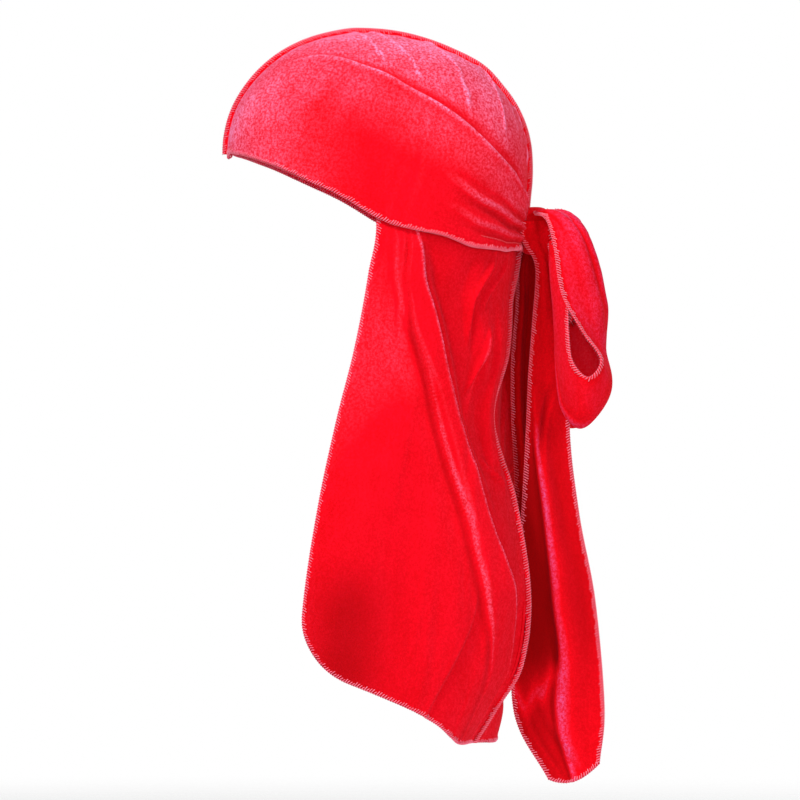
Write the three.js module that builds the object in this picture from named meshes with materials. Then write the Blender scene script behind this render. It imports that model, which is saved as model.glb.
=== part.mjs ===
// A velvet durag as it is worn: two crown panels joined by an outward centre seam, a wide
// flap of two halves falling from under the band, and the straps tied in a bow at the back.
// Millimetres. +Z is up, the brow faces -Y, the wearer's left side is +X, and the origin is
// the inner top of the crown.
import * as THREE from "three";

// Cloth
const CLOTH = 1.5;
const CLEARANCE = 0.3;

// Crown
const CROWN_DEPTH = 136.5;
const BROW_REACH = 80.4;
const NAPE_REACH = 104.2;
const HALF_WIDTH = 76.5;
const PLAN_ROUNDNESS = 2.2;
const RIDGE_RISE = 2.6;
const RAY_RISE = 1.5;
const GATHER_RISE = 1.5;

// Centre seam
const SEAM_WIDTH = 2.4;
const SEAM_RISE = 2.8;

// Flap
const FLAP_LENGTH = 442;
const FLAP_REACH = 105;
const FLAP_HALF_WIDTH = 90;
const FLAP_TUCK = 14;
const FLAP_BLEND = 34;
const FLAP_CORNER = 30;
const FLAP_SEAM_RISE = 3;
const FOLD_RISE = 10;
const FOLD_FADE = 0.12;
const FLAP_SEAM_START = 0.03;

// Bow and tails
const KNOT_SIZE = { x: 24, y: 14, z: 30 };
const KNOT_AT = { y: 114.8, depth: 123.5 };
const KNOT_WRAP = 1.2;
const LOOP_WIDTH = 56;
const LOOP_REACH = 40;
const LOOP_DROP = 125;
const LOOP_BELLY = 50;
const TAIL_REACH = 40;
const TAIL_DROP = 345;
const TAIL_OUT = 15;
const TAIL_END_SAG = 6;
const TAIL_FOLD_RISE = 5;

// Derived
const SEAM_HALF_GAP = SEAM_WIDTH / 2 + CLEARANCE;
const FLAP_SEAM_GAP = SEAM_HALF_GAP + 0.6;
const TUCK_INSET = CLOTH + CLEARANCE + 1.9;

// Crown body. level is the square root of the share of CROWN_DEPTH, and the reaches are
// shares of BROW_REACH, HALF_WIDTH and NAPE_REACH; middle is where the widest line lies.
const CROWN_LEVELS = [
  { level: 0.0, brow: 0.0, side: 0.0, nape: 0.0, middle: 0.0 },
  { level: 0.1, brow: 0.146, side: 0.183, nape: 0.202, middle: 0.02 },
  { level: 0.2, brow: 0.348, side: 0.373, nape: 0.381, middle: 0.04 },
  { level: 0.3, brow: 0.536, side: 0.549, nape: 0.557, middle: 0.07 },
  { level: 0.4, brow: 0.699, side: 0.693, nape: 0.732, middle: 0.09 },
  { level: 0.5, brow: 0.837, side: 0.81, nape: 0.847, middle: 0.11 },
  { level: 0.6, brow: 0.944, side: 0.902, nape: 0.946, middle: 0.12 },
  { level: 0.7, brow: 1.0, side: 0.967, nape: 1.006, middle: 0.12 },
  { level: 0.8, brow: 1.002, side: 1.0, nape: 1.02, middle: 0.12 },
  { level: 0.9, brow: 1.0, side: 1.0, nape: 1.002, middle: 0.12 },
  { level: 1.0, brow: 1.0, side: 0.98, nape: 0.988, middle: 0.12 },
];

// Stations along one crown panel, from the brow to the knot. Each names where the seam, the
// diagonal ridge and the hem stand on the crown map: back is measured from the top towards
// the knot, out towards the ear, both in levels.
const CROWN_STATIONS = [
  { share: 0, seam: -0.754, ridge_back: -0.754, ridge_out: 0,
    hem_back: -0.754, hem_out: 0 },
  { share: 0.08, seam: -0.6, ridge_back: -0.6, ridge_out: 0.15,
    hem_back: -0.695, hem_out: 0.275 },
  { share: 0.18, seam: -0.42, ridge_back: -0.42, ridge_out: 0.2,
    hem_back: -0.565, hem_out: 0.53 },
  { share: 0.3, seam: -0.2, ridge_back: -0.226, ridge_out: 0.26,
    hem_back: -0.345, hem_out: 0.755 },
  { share: 0.42, seam: -0.017, ridge_back: 0.03, ridge_out: 0.45,
    hem_back: -0.037, hem_out: 0.912 },
  { share: 0.53, seam: 0.06, ridge_back: 0.17, ridge_out: 0.52,
    hem_back: 0.162, hem_out: 0.935 },
  { share: 0.65, seam: 0.204, ridge_back: 0.37, ridge_out: 0.537,
    hem_back: 0.405, hem_out: 0.878 },
  { share: 0.77, seam: 0.382, ridge_back: 0.58, ridge_out: 0.475,
    hem_back: 0.645, hem_out: 0.755 },
  { share: 0.89, seam: 0.57, ridge_back: 0.775, ridge_out: 0.31,
    hem_back: 0.86, hem_out: 0.51 },
  { share: 0.95, seam: 0.73, ridge_back: 0.855, ridge_out: 0.16,
    hem_back: 0.96, hem_out: 0.27 },
  { share: 1, seam: 0.885, ridge_back: 0.91, ridge_out: 0.03,
    hem_back: 1, hem_out: 0.03 },
];

// Tension creases that fan from the seam down to the ridge.
const RAYS = [
  { share: 0.42, width: 0.03, rise: 0.8 },
  { share: 0.53, width: 0.03, rise: 1.0 },
  { share: 0.65, width: 0.032, rise: 1.0 },
  { share: 0.77, width: 0.03, rise: 1.0 },
  { share: 0.89, width: 0.026, rise: 0.7 },
];

// Gathers drawn together towards the knot, placed between the ridge (0.5) and the hem (1).
const GATHERS = [
  { across: 0.62, start: 0.62, width: 0.045, rise: 1.0 },
  { across: 0.74, start: 0.7, width: 0.04, rise: 0.9 },
  { across: 0.87, start: 0.6, width: 0.05, rise: 1.0 },
];

// Flap plan by depth, a share of FLAP_LENGTH. Each section is a curve from the free front edge
// to the centre seam through two drawing points; back values are shares of FLAP_REACH and out
// values shares of FLAP_HALF_WIDTH. turn_* is the left half's second drawing point and far_*
// the right half's.
const FLAP_LEVELS = [
  { depth: 0.2624, edge_back: 0.118, edge_out: 0.83, side_back: 0.52, side_out: 0.85,
    turn_back: 0.93, turn_out: 0.47, far_back: 0.93, far_out: 0.47, seam_back: 0.925, seam_out: 0.02 },
  { depth: 0.362, edge_back: 0.057, edge_out: 0.81, side_back: 0.47, side_out: 0.9,
    turn_back: 0.93, turn_out: 0.5, far_back: 0.9, far_out: 0.5, seam_back: 0.9, seam_out: 0.04 },
  { depth: 0.4525, edge_back: -0.018, edge_out: 0.79, side_back: 0.42, side_out: 0.94,
    turn_back: 0.94, turn_out: 0.56, far_back: 0.93, far_out: 0.55, seam_back: 0.875, seam_out: 0.08 },
  { depth: 0.543, edge_back: -0.115, edge_out: 0.77, side_back: 0.33, side_out: 0.96,
    turn_back: 0.86, turn_out: 0.64, far_back: 1.08, far_out: 0.5, seam_back: 0.785, seam_out: 0.16 },
  { depth: 0.6561, edge_back: -0.219, edge_out: 0.74, side_back: 0.24, side_out: 0.98,
    turn_back: 0.82, turn_out: 0.74, far_back: 0.82, far_out: 0.5, seam_back: 0.914, seam_out: 0.25 },
  { depth: 0.7919, edge_back: -0.31, edge_out: 0.71, side_back: 0.18, side_out: 1.0,
    turn_back: 0.82, turn_out: 0.8, far_back: 0.75, far_out: 0.45, seam_back: 1.0, seam_out: 0.29 },
  { depth: 0.8937, edge_back: -0.338, edge_out: 0.69, side_back: 0.14, side_out: 1.0,
    turn_back: 0.76, turn_out: 0.82, far_back: 0.78, far_out: 0.42, seam_back: 0.95, seam_out: 0.29 },
  { depth: 0.9502, edge_back: -0.335, edge_out: 0.68, side_back: 0.12, side_out: 0.99,
    turn_back: 0.7, turn_out: 0.81, far_back: 1.18, far_out: 0.34, seam_back: 0.81, seam_out: 0.28 },
  { depth: 1, edge_back: -0.33, edge_out: 0.67, side_back: 0.1, side_out: 0.98,
    turn_back: 0.62, turn_out: 0.8, far_back: 1.26, far_out: 0.34, seam_back: 0.68, seam_out: 0.27 },
];

// Lower hem of the flap, before its front corner is rounded.
const FLAP_HEM = [
  { share: 0.0, depth: 0.888 },
  { share: 0.2, depth: 0.913 },
  { share: 0.4, depth: 0.94 },
  { share: 0.6, depth: 0.968 },
  { share: 0.8, depth: 0.997 },
  { share: 1.0, depth: 0.999 },
];

// Folds down the flap. Places are shares of the half's width, start and end shares of the fall
// below the band, rises and lean shares of FOLD_RISE; lean pushes a fold over towards the seam.
// left and right say how strong a fold is on each half.
const FLAP_FOLDS = [
  { at_top: 0.08, at_bottom: 0.3, start: 0, end: 1, width: 0.045,
    rise_top: 0.35, rise_bottom: 0.2, lean: 0.1, left: 1, right: 0.3 },
  { at_top: 0.15, at_bottom: 0.97, start: 0, end: 1, width: 0.07,
    rise_top: 0.6, rise_bottom: 1, lean: 0.6, left: 1, right: 0.3 },
  { at_top: 0.08, at_bottom: 0.79, start: 0.05, end: 1, width: 0.045,
    rise_top: -0.2, rise_bottom: -0.45, lean: 0, left: 1, right: 0.3 },
  { at_top: 0.27, at_bottom: 1.1, start: 0, end: 0.9, width: 0.045,
    rise_top: -0.4, rise_bottom: -0.35, lean: 0, left: 1, right: 0.3 },
  { at_top: 0.78, at_bottom: 0.2, start: 0, end: 0.35, width: 0.05,
    rise_top: 0.35, rise_bottom: 0.2, lean: 0, left: 1, right: 0.3 },
  { at_top: 0.6, at_bottom: 1.0, start: 0.05, end: 0.4, width: 0.045,
    rise_top: 0.25, rise_bottom: 0.25, lean: 0, left: 1, right: 0.3 },
  { at_top: 1.4, at_bottom: 0.46, start: 0.78, end: 1, width: 0.035,
    rise_top: -0.3, rise_bottom: -0.3, lean: 0, left: 1, right: 0.3 },
  { at_top: 0.26, at_bottom: 0.42, start: 0.4, end: 1, width: 0.06,
    rise_top: 0.15, rise_bottom: 0.3, lean: 0, left: 1, right: 0.3 },
  { at_top: 0.12, at_bottom: 0.1, start: 0.3, end: 1, width: 0.05,
    rise_top: -0.15, rise_bottom: -0.2, lean: 0, left: 1, right: 0.3 },
  { at_top: 0.74, at_bottom: 0.74, start: 0.06, end: 0.52, width: 0.075,
    rise_top: 1.35, rise_bottom: 1.35, lean: 0, left: 0, right: 1 },
];

// Loop of the bow, over the bend and back, measured from the middle of the knot. Out is a share
// of LOOP_WIDTH, back a share of LOOP_REACH, down a share of LOOP_DROP, for the outer edge (near)
// and the edge by the middle (far). Between them the cloth bows and sags, by shares of LOOP_BELLY.
const LOOP_STATIONS = [
  { near_out: 0.208, near_back: -0.1187, near_down: -0.0833,
    far_out: 0.135, far_back: 0.0944, far_down: -0.0952, bow: 0, sag: 0 },
  { near_out: 0.48, near_back: 0.0634, near_down: -0.0516,
    far_out: 0.14, far_back: 0.385, far_down: -0.0773, bow: -0.28, sag: 0.18 },
  { near_out: 0.68, near_back: 0.1835, near_down: 0.0873,
    far_out: 0.1, far_back: 0.6175, far_down: 0.123, bow: -0.34, sag: 0.16 },
  { near_out: 0.85, near_back: 0.292, near_down: 0.3115,
    far_out: 0.09, far_back: 0.54, far_down: 0.2818, bow: -0.44, sag: 0.28 },
  { near_out: 0.95, near_back: 0.5904, near_down: 0.5,
    far_out: 0.09, far_back: 0.5012, far_down: 0.3611, bow: -0.34, sag: 0.48 },
  { near_out: 1, near_back: 0.881, near_down: 0.6428,
    far_out: 0.09, far_back: 0.5012, far_down: 0.4405, bow: -0.26, sag: 0.62 },
  { near_out: 1, near_back: 0.695, near_down: 0.7301,
    far_out: 0.09, far_back: 0.4431, far_down: 0.4603, bow: -0.06, sag: 0.88 },
  { near_out: 0.96, near_back: 0.4625, near_down: 0.6508,
    far_out: 0.09, far_back: 0.385, far_down: 0.4306, bow: -0.08, sag: 0.76 },
  { near_out: 0.9, near_back: 0.385, near_down: 0.5,
    far_out: 0.12, far_back: 0.3269, far_down: 0.3413, bow: -0.1, sag: 0.5 },
  { near_out: 0.75, near_back: 0.2881, near_down: 0.3016,
    far_out: 0.15, far_back: 0.23, far_down: 0.2421, bow: -0.1, sag: 0.28 },
  { near_out: 0.56, near_back: 0.1719, near_down: 0.1548,
    far_out: 0.2, far_back: 0.1719, far_down: 0.1429, bow: -0.08, sag: 0.08 },
  { near_out: 0.4, near_back: 0.0169, near_down: 0.0476,
    far_out: 0.3, far_back: 0.1331, far_down: 0.0576, bow: -0.02, sag: 0 },
];

// Tails, measured from the middle of the knot. Out is a share of TAIL_OUT, back a share of
// TAIL_REACH and down a share of TAIL_DROP, for the edge towards the nape and the outer edge.
const TAIL_LEFT_STATIONS = [
  { nape_out: 1, nape_back: -0.2116, nape_down: -0.0169,
    outer_out: 1, outer_back: -0.0204, outer_down: -0.0196 },
  { nape_out: 0.94, nape_back: -0.1466, nape_down: 0.0197,
    outer_out: 0.94, outer_back: 0.037, outer_down: 0.017 },
  { nape_out: 0.7667, nape_back: -0.0854, nape_down: 0.0644,
    outer_out: 0.4667, outer_back: 0.1518, outer_down: 0.0589 },
  { nape_out: 0.5667, nape_back: -0.1313, nape_down: 0.1618,
    outer_out: -0.0333, outer_back: 0.3812, outer_down: 0.1564 },
  { nape_out: 0.5333, nape_back: -0.1925, nape_down: 0.2579,
    outer_out: -0.0667, outer_back: 0.496, outer_down: 0.2539 },
  { nape_out: 0.5333, nape_back: -0.2308, nape_down: 0.3594,
    outer_out: -0.0533, outer_back: 0.4386, outer_down: 0.3594 },
  { nape_out: 0.4667, nape_back: -0.2996, nape_down: 0.5002,
    outer_out: 0.1333, outer_back: 0.5916, outer_down: 0.5151 },
  { nape_out: 0.4333, nape_back: -0.4029, nape_down: 0.6843,
    outer_out: 0.3333, outer_back: 0.8326, outer_down: 0.6667 },
  { nape_out: 0.4, nape_back: -0.422, nape_down: 0.8684,
    outer_out: 0.4667, outer_back: 0.9741, outer_down: 0.8603 },
  { nape_out: 0.4, nape_back: 0.1135, nape_down: 0.9902,
    outer_out: 0.5, outer_back: 0.8976, outer_down: 0.9618 },
];
const TAIL_RIGHT_STATIONS = [
  { nape_out: -0.8733, nape_back: -0.2116, nape_down: -0.0169,
    outer_out: -0.8733, outer_back: -0.0204, outer_down: -0.0196 },
  { nape_out: -0.8533, nape_back: -0.1925, nape_down: 0.0197,
    outer_out: -0.8533, outer_back: -0.0012, outer_down: 0.017 },
  { nape_out: -0.7, nape_back: -0.269, nape_down: 0.0644,
    outer_out: -0.7867, outer_back: 0.037, outer_down: 0.0617 },
  { nape_out: -0.5333, nape_back: -0.3837, nape_down: 0.1361,
    outer_out: -0.8333, outer_back: 0.037, outer_down: 0.1361 },
  { nape_out: -0.5333, nape_back: -0.4526, nape_down: 0.2241,
    outer_out: -0.8333, outer_back: 0.037, outer_down: 0.2241 },
  { nape_out: -0.5667, nape_back: -0.4526, nape_down: 0.3324,
    outer_out: -0.9, outer_back: 0.037, outer_down: 0.3324 },
  { nape_out: -0.6, nape_back: -0.4029, nape_down: 0.4542,
    outer_out: -1, outer_back: 0.3047, outer_down: 0.4542 },
  { nape_out: -0.6333, nape_back: -0.3837, nape_down: 0.6166,
    outer_out: -1.0667, outer_back: 0.496, outer_down: 0.6166 },
  { nape_out: -0.6667, nape_back: -0.3455, nape_down: 0.7926,
    outer_out: -1.1333, outer_back: 0.5725, outer_down: 0.8197 },
];

// Lengthwise folds of a tail: place across it, width, and rise at the knot and at the end, the
// rises as shares of TAIL_FOLD_RISE.
const TAIL_FOLDS = [
  { across: 0.2, width: 0.12, rise_top: 0.24, rise_end: 0.9 },
  { across: 0.5, width: 0.14, rise_top: -0.24, rise_end: -1 },
  { across: 0.8, width: 0.12, rise_top: 0.2, rise_end: 0.8 },
];

const clamp = (value, low, high) => Math.min(high, Math.max(low, value));
const lerp = (from, to, share) => from + (to - from) * share;
const smooth = (value) => {
  const share = clamp(value, 0, 1);
  return share * share * (3 - 2 * share);
};
const bump = (distance, width) => Math.exp(-(distance * distance) / (width * width));

// Reads one column of a table at a place along its key column, with a smooth curve.
function read(table, key, at, column) {
  let row = 0;
  while (row < table.length - 2 && table[row + 1][key] < at) row += 1;
  const [low, high] = [table[row], table[row + 1]];
  const span = high[key] - low[key];
  const share = clamp((at - low[key]) / span, 0, 1);
  const slope = (middle) => {
    const [before, after] = [table[Math.max(0, middle - 1)], table[Math.min(table.length - 1, middle + 1)]];
    return (after[column] - before[column]) / (after[key] - before[key]);
  };
  const [s2, s3] = [share * share, share * share * share];
  return (2 * s3 - 3 * s2 + 1) * low[column] + (s3 - 2 * s2 + share) * slope(row) * span
    + (3 * s2 - 2 * s3) * high[column] + (s3 - s2) * slope(row + 1) * span;
}

// A strip of stations is read by its row number, from 0 at the knot to 1 at the far end.
const numbered = (table) => table.map((row, index) => ({ ...row, share: index / (table.length - 1) }));

// Unit normal of a surface of two shares, found by small steps kept inside its edges.
function normalOf(surface, u, v) {
  const step = 0.004;
  const [cu, cv] = [clamp(u, 2 * step, 1 - 2 * step), clamp(v, step, 1 - step)];
  const along = surface(cu + step, cv).sub(surface(cu - step, cv));
  const across = surface(cu, cv + step).sub(surface(cu, cv - step));
  return along.cross(across).normalize();
}

// Closed cloth body between a face and the same face moved inwards by the thickness.
function clothBody(name, face, inward, columns, rows, material, settle = (point) => point) {
  const corners = [];
  const found = new Map();
  const keep = (point) => {
    const key = [point.x, point.y, point.z].map((part) => Math.round(part * 1e4)).join(" ");
    if (!found.has(key)) {
      found.set(key, corners.length);
      corners.push(point);
    }
    return found.get(key);
  };
  const outer = columns.map((u) => rows.map((v) => keep(settle(face(u, v)))));
  const inner = columns.map((u) => rows.map((v) => keep(settle(inward(u, v)))));
  const faces = [];
  const quad = (a, b, c, d) => {
    for (const [i, j, k] of [[a, b, c], [a, c, d]]) {
      if (i !== j && j !== k && k !== i) faces.push(i, j, k);
    }
  };
  const [lastColumn, lastRow] = [columns.length - 1, rows.length - 1];
  for (let i = 0; i < lastColumn; i += 1) {
    for (let j = 0; j < lastRow; j += 1) {
      quad(outer[i][j], outer[i + 1][j], outer[i + 1][j + 1], outer[i][j + 1]);
      quad(inner[i][j], inner[i][j + 1], inner[i + 1][j + 1], inner[i + 1][j]);
    }
    quad(outer[i][0], inner[i][0], inner[i + 1][0], outer[i + 1][0]);
    quad(outer[i][lastRow], outer[i + 1][lastRow], inner[i + 1][lastRow], inner[i][lastRow]);
  }
  for (let j = 0; j < lastRow; j += 1) {
    quad(outer[0][j], outer[0][j + 1], inner[0][j + 1], inner[0][j]);
    quad(outer[lastColumn][j], inner[lastColumn][j], inner[lastColumn][j + 1], outer[lastColumn][j + 1]);
  }
  return meshOf(name, corners, faces, material);
}

function meshOf(name, corners, faces, material) {
  const geometry = new THREE.BufferGeometry();
  const places = corners.flatMap((point) => [point.x, point.y, point.z]);
  geometry.setAttribute("position", new THREE.Float32BufferAttribute(places, 3));
  geometry.setIndex(faces);
  geometry.computeVertexNormals();
  const mesh = new THREE.Mesh(geometry, material);
  mesh.name = name;
  return mesh;
}

// A mirrored copy on the other side of the middle plane.
function mirrored(mesh, name) {
  const places = mesh.geometry.getAttribute("position");
  const corners = [];
  for (let i = 0; i < places.count; i += 1) {
    corners.push(new THREE.Vector3(-places.getX(i), places.getY(i), places.getZ(i)));
  }
  const index = Array.from(mesh.geometry.getIndex().array);
  const faces = [];
  for (let i = 0; i < index.length; i += 3) faces.push(index[i], index[i + 2], index[i + 1]);
  return meshOf(name, corners, faces, cloth());
}

const spread = (count, from = 0, to = 1) => {
  const steps = Array.from({ length: count + 1 }, (_, i) => i / count);
  return steps.map((share) => lerp(from, to, share));
};
const cloth = () => new THREE.MeshStandardMaterial({ color: 0xe0122e, roughness: 0.9 });
const thread = () => new THREE.MeshStandardMaterial({ color: 0xe8405c, roughness: 0.8 });

// Point of the smooth crown for a place on its map.
function crownBody(back, out) {
  const level = Math.hypot(back, out);
  if (level < 1e-6) return new THREE.Vector3(0, 0, CLOTH);
  const value = (column) => read(CROWN_LEVELS, "level", level, column);
  const reach = back < 0 ? value("brow") * BROW_REACH : value("nape") * NAPE_REACH;
  const middle = value("middle") * NAPE_REACH;
  const power = 2 / PLAN_ROUNDNESS;
  const lengthwise = Math.abs(back / level) ** power;
  const sideways = Math.sign(out) * Math.abs(out / level) ** power;
  const y = back < 0 ? middle - (reach + middle) * lengthwise : middle + (reach - middle) * lengthwise;
  const x = value("side") * HALF_WIDTH * sideways;
  return new THREE.Vector3(x, y, CLOTH - level * level * CROWN_DEPTH);
}

// Outward direction of the smooth crown.
function crownOut(back, out) {
  const step = 0.02;
  const along = crownBody(back + step, out).sub(crownBody(back - step, out));
  const across = crownBody(back, out + step).sub(crownBody(back, out - step));
  return along.cross(across).negate().normalize();
}

// Place on the crown map for a share from brow to knot and a share from seam to hem.
function crownPlace(share, across) {
  const value = (column) => read(CROWN_STATIONS, "share", share, column);
  const ridge = [value("ridge_back"), Math.max(0, value("ridge_out"))];
  if (across <= 0.5) {
    const [seam, to] = [value("seam"), across * 2];
    return [lerp(seam, ridge[0], to), lerp(0, ridge[1], to)];
  }
  const to = across * 2 - 1;
  return [lerp(ridge[0], value("hem_back"), to), lerp(ridge[1], Math.max(0, value("hem_out")), to)];
}

// Relief of the crown: the diagonal ridge, the fan of creases and the gathers at the knot.
function crownRelief(share, across) {
  const ridgeGrowth = smooth((share - 0.3) / 0.2) * (1 - smooth((share - 0.93) / 0.07) * 0.5);
  const offRidge = across - 0.5;
  const crest = bump(offRidge, offRidge < 0 ? 0.12 : 0.035);
  const hollow = offRidge > 0 ? 0.75 * bump(offRidge - 0.1, 0.07) : 0;
  let rise = RIDGE_RISE * ridgeGrowth * (crest - hollow);
  const rayFade = smooth(across / 0.08) * (1 - smooth((across - 0.36) / 0.12));
  for (const ray of RAYS) rise += RAY_RISE * ray.rise * rayFade * bump(share - ray.share, ray.width);
  for (const gather of GATHERS) {
    const growth = smooth((share - gather.start) / 0.25) * (1 - smooth((share - 0.94) / 0.06) * 0.4);
    rise += GATHER_RISE * gather.rise * growth * bump(across - gather.across, gather.width);
  }
  return rise;
}

function crownFace(share, across) {
  const [back, out] = crownPlace(share, across);
  const point = crownBody(back, out).addScaledVector(crownOut(back, out), crownRelief(share, across));
  point.x = SEAM_HALF_GAP + point.x * (1 - SEAM_HALF_GAP / HALF_WIDTH);
  return point;
}

function crownPanel(name) {
  const columns = [0, 0.03, 0.07, 0.12, 0.18, 0.24, 0.3, 0.36];
  for (const ray of RAYS) columns.push(ray.share - ray.width, ray.share, ray.share + ray.width);
  columns.push(0.475, 0.59, 0.71, 0.83, 0.945, 0.975, 1);
  columns.sort((a, b) => a - b);
  const rows = [0, 0.06, 0.17, 0.29, 0.4, 0.46, 0.5, 0.54, 0.6, 0.66, 0.74, 0.81, 0.87, 0.94, 1];
  const inward = (u, v) => {
    const smoothOut = crownOut(...crownPlace(Math.max(u, 0.02), v));
    const normal = u < 0.02 ? smoothOut : normalOf(crownFace, u, v);
    if (normal.dot(smoothOut) < 0) normal.negate();
    return crownFace(u, v).addScaledVector(normal, -CLOTH);
  };
  const settle = (point) => {
    point.x = Math.max(point.x, SEAM_HALF_GAP);
    return point;
  };
  return turnedOut(clothBody(name, crownFace, inward, columns, rows, cloth(), settle));
}

// Upright strip along a line in the middle plane or across it: a sewn seam with its allowance
// standing out. line gives the point, out the way it stands and side its thickness direction.
function seamStrip(name, steps, line, out, side, width, below, above) {
  const corners = [];
  const faces = [];
  for (const step of steps) {
    const [centre, up, aside] = [line(step), out(step), side(step)];
    for (const [sideways, upwards] of [[-1, -below], [1, -below], [1, above], [-1, above]]) {
      const corner = centre.clone().addScaledVector(aside, (sideways * width) / 2);
      corners.push(corner.addScaledVector(up, upwards));
    }
  }
  const quad = (a, b, c, d) => faces.push(a, b, c, a, c, d);
  for (let i = 0; i < steps.length - 1; i += 1) {
    for (let j = 0; j < 4; j += 1) {
      const [here, next] = [i * 4 + j, i * 4 + ((j + 1) % 4)];
      quad(here, here + 4, next + 4, next);
    }
  }
  const last = (steps.length - 1) * 4;
  quad(0, 1, 2, 3);
  quad(last, last + 3, last + 2, last + 1);
  return meshOf(name, corners, faces, thread());
}

function centreSeam() {
  const steps = [...spread(16, -0.74, 0), ...spread(22, 0, 0.985).slice(1)];
  const line = (back) => crownBody(back, 0);
  const out = (back) => {
    const step = 0.02;
    const run = crownBody(Math.min(back + step, 1), 0).sub(crownBody(Math.max(back - step, -0.76), 0));
    return new THREE.Vector3(0, -run.z, run.y).normalize();
  };
  const side = () => new THREE.Vector3(1, 0, 0);
  return seamStrip("centre_seam", steps, line, out, side, SEAM_WIDTH, CLOTH, SEAM_RISE);
}

// Level on the crown map where the hem lies, for a turn from brow (0) to nape (1).
function hemLevel(turn) {
  let [low, high] = [0, 1];
  for (let i = 0; i < 24; i += 1) {
    const share = (low + high) / 2;
    const [back, out] = crownPlace(share, 1);
    if (Math.atan2(out, -back) / Math.PI < turn) low = share;
    else high = share;
  }
  return Math.hypot(...crownPlace((low + high) / 2, 1));
}

// Where the flap starts behind the ear, as a turn from brow (0) to nape (1).
const FLAP_START = 0.5;

// Rows down the flap, as shares from its hidden top to its hem.
const FLAP_ROWS = [
  0, 0.035, 0.07, 0.11, 0.15, 0.2, 0.26, 0.32, 0.38, 0.44, 0.51, 0.58, 0.65, 0.72, 0.79, 0.86, 0.93, 1,
];

// One half of the flap as a face of two shares: from its free edge to the seam, and from its
// hidden top down to the lower hem.
function flapFace(side) {
  const topDepth = (u) => hemLevel(lerp(FLAP_START, 1, u)) ** 2 * CROWN_DEPTH - FLAP_TUCK;
  const half = side > 0 ? "left" : "right";
  const tops = spread(20).map((u) => ({ share: u, depth: topDepth(u), hem: topDepth(u) + FLAP_TUCK }));
  const bottomDepth = (u) => {
    const corner = clamp(1 - (u * 150) / FLAP_CORNER, 0, 1);
    const lift = FLAP_CORNER * (1 - Math.sqrt(1 - corner * corner));
    return read(FLAP_HEM, "share", u, "depth") * FLAP_LENGTH - lift;
  };
  return (u, v) => {
    const top = read(tops, "share", u, "depth");
    const hem = read(tops, "share", u, "hem");
    const depth = lerp(top, bottomDepth(u), v);
    const value = (column) => read(FLAP_LEVELS, "depth", depth / FLAP_LENGTH, column);
    const turnName = side > 0 ? "turn" : "far";
    const edge = [value("edge_out") * side, value("edge_back")];
    const flank = [value("side_out") * side, value("side_back")];
    const turn = [value(`${turnName}_out`) * side, value(`${turnName}_back`)];
    const seam = [value("seam_out"), value("seam_back")];
    const curve = (axis) => {
      const w = 1 - u;
      return w ** 3 * edge[axis] + 3 * w * w * u * flank[axis]
        + 3 * w * u * u * turn[axis] + u ** 3 * seam[axis];
    };
    const slope = (axis) => {
      const w = 1 - u;
      return 3 * w * w * (flank[axis] - edge[axis]) + 6 * w * u * (turn[axis] - flank[axis])
        + 3 * u * u * (seam[axis] - turn[axis]);
    };
    const [across, along] = [FLAP_HALF_WIDTH, FLAP_REACH];
    const hanging = new THREE.Vector3(curve(0) * across, curve(1) * along, CLOTH - depth);
    const run = new THREE.Vector3(slope(0) * across, slope(1) * along, 0).normalize();
    const out = new THREE.Vector3(run.y * side, -run.x * side, 0);
    const fall = (depth - hem) / (FLAP_LENGTH - hem);
    const edgeFade = smooth((1 - u) / 0.06);
    for (const fold of FLAP_FOLDS) {
      const at = lerp(fold.at_top, fold.at_bottom, clamp(fall, 0, 1));
      const begun = fold.start > 0 ? smooth((fall - fold.start) / FOLD_FADE + 0.5) : 1;
      const ended = fold.end < 1 ? 1 - smooth((fall - fold.end) / FOLD_FADE + 0.5) : 1;
      const shape = bump(u - at, fold.width) * edgeFade * begun * ended * fold[half] * FOLD_RISE;
      const rise = lerp(fold.rise_top, fold.rise_bottom, clamp(fall, 0, 1));
      hanging.addScaledVector(out, rise * shape);
      hanging.addScaledVector(run, fold.lean * shape * clamp(fall * 3, 0, 1));
    }
    const turnAt = lerp(FLAP_START, 1, u) * Math.PI;
    const level = Math.sqrt(depth / CROWN_DEPTH);
    const [back, sideways] = [-level * Math.cos(turnAt), level * Math.sin(turnAt)];
    const tucked = crownBody(back, sideways).addScaledVector(crownOut(back, sideways), -TUCK_INSET);
    tucked.x = (tucked.x * (1 - SEAM_HALF_GAP / HALF_WIDTH) + SEAM_HALF_GAP) * side;
    tucked.z = CLOTH - depth;
    const free = smooth((depth - hem) / FLAP_BLEND);
    return tucked.lerp(hanging, free);
  };
}

function flapPanel(name, side) {
  const face = flapFace(side);
  const columns = [0, 0.02, 0.05, 0.09, 0.14, 0.2, 0.26, 0.32, 0.38, 0.44, 0.5, 0.56, 0.62, 0.68,
    0.74, 0.79, 0.84, 0.88, 0.92, 0.96, 1];
  const seam = flapSeamFrame();
  const clear = (point, u, v) => {
    if (u < 0.8) return point;
    const { at, aside } = seam(v);
    const off = point.clone().sub(at).dot(aside) * side;
    return point.addScaledVector(aside, side * Math.max(0, FLAP_SEAM_GAP - off));
  };
  const outer = (u, v) => clear(face(u, v), u, v);
  const inward = (u, v) => clear(face(u, v).addScaledVector(normalOf(face, u, v), -side * CLOTH), u, v);
  const mesh = clothBody(name, outer, inward, columns, FLAP_ROWS, cloth());
  return side > 0 ? mesh : turnedOut(mesh);
}

// The same body with its faces turned round.
function turnedOut(mesh) {
  const index = mesh.geometry.getIndex().array;
  for (let i = 0; i < index.length; i += 3) [index[i + 1], index[i + 2]] = [index[i + 2], index[i + 1]];
  mesh.geometry.computeVertexNormals();
  return mesh;
}

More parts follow.
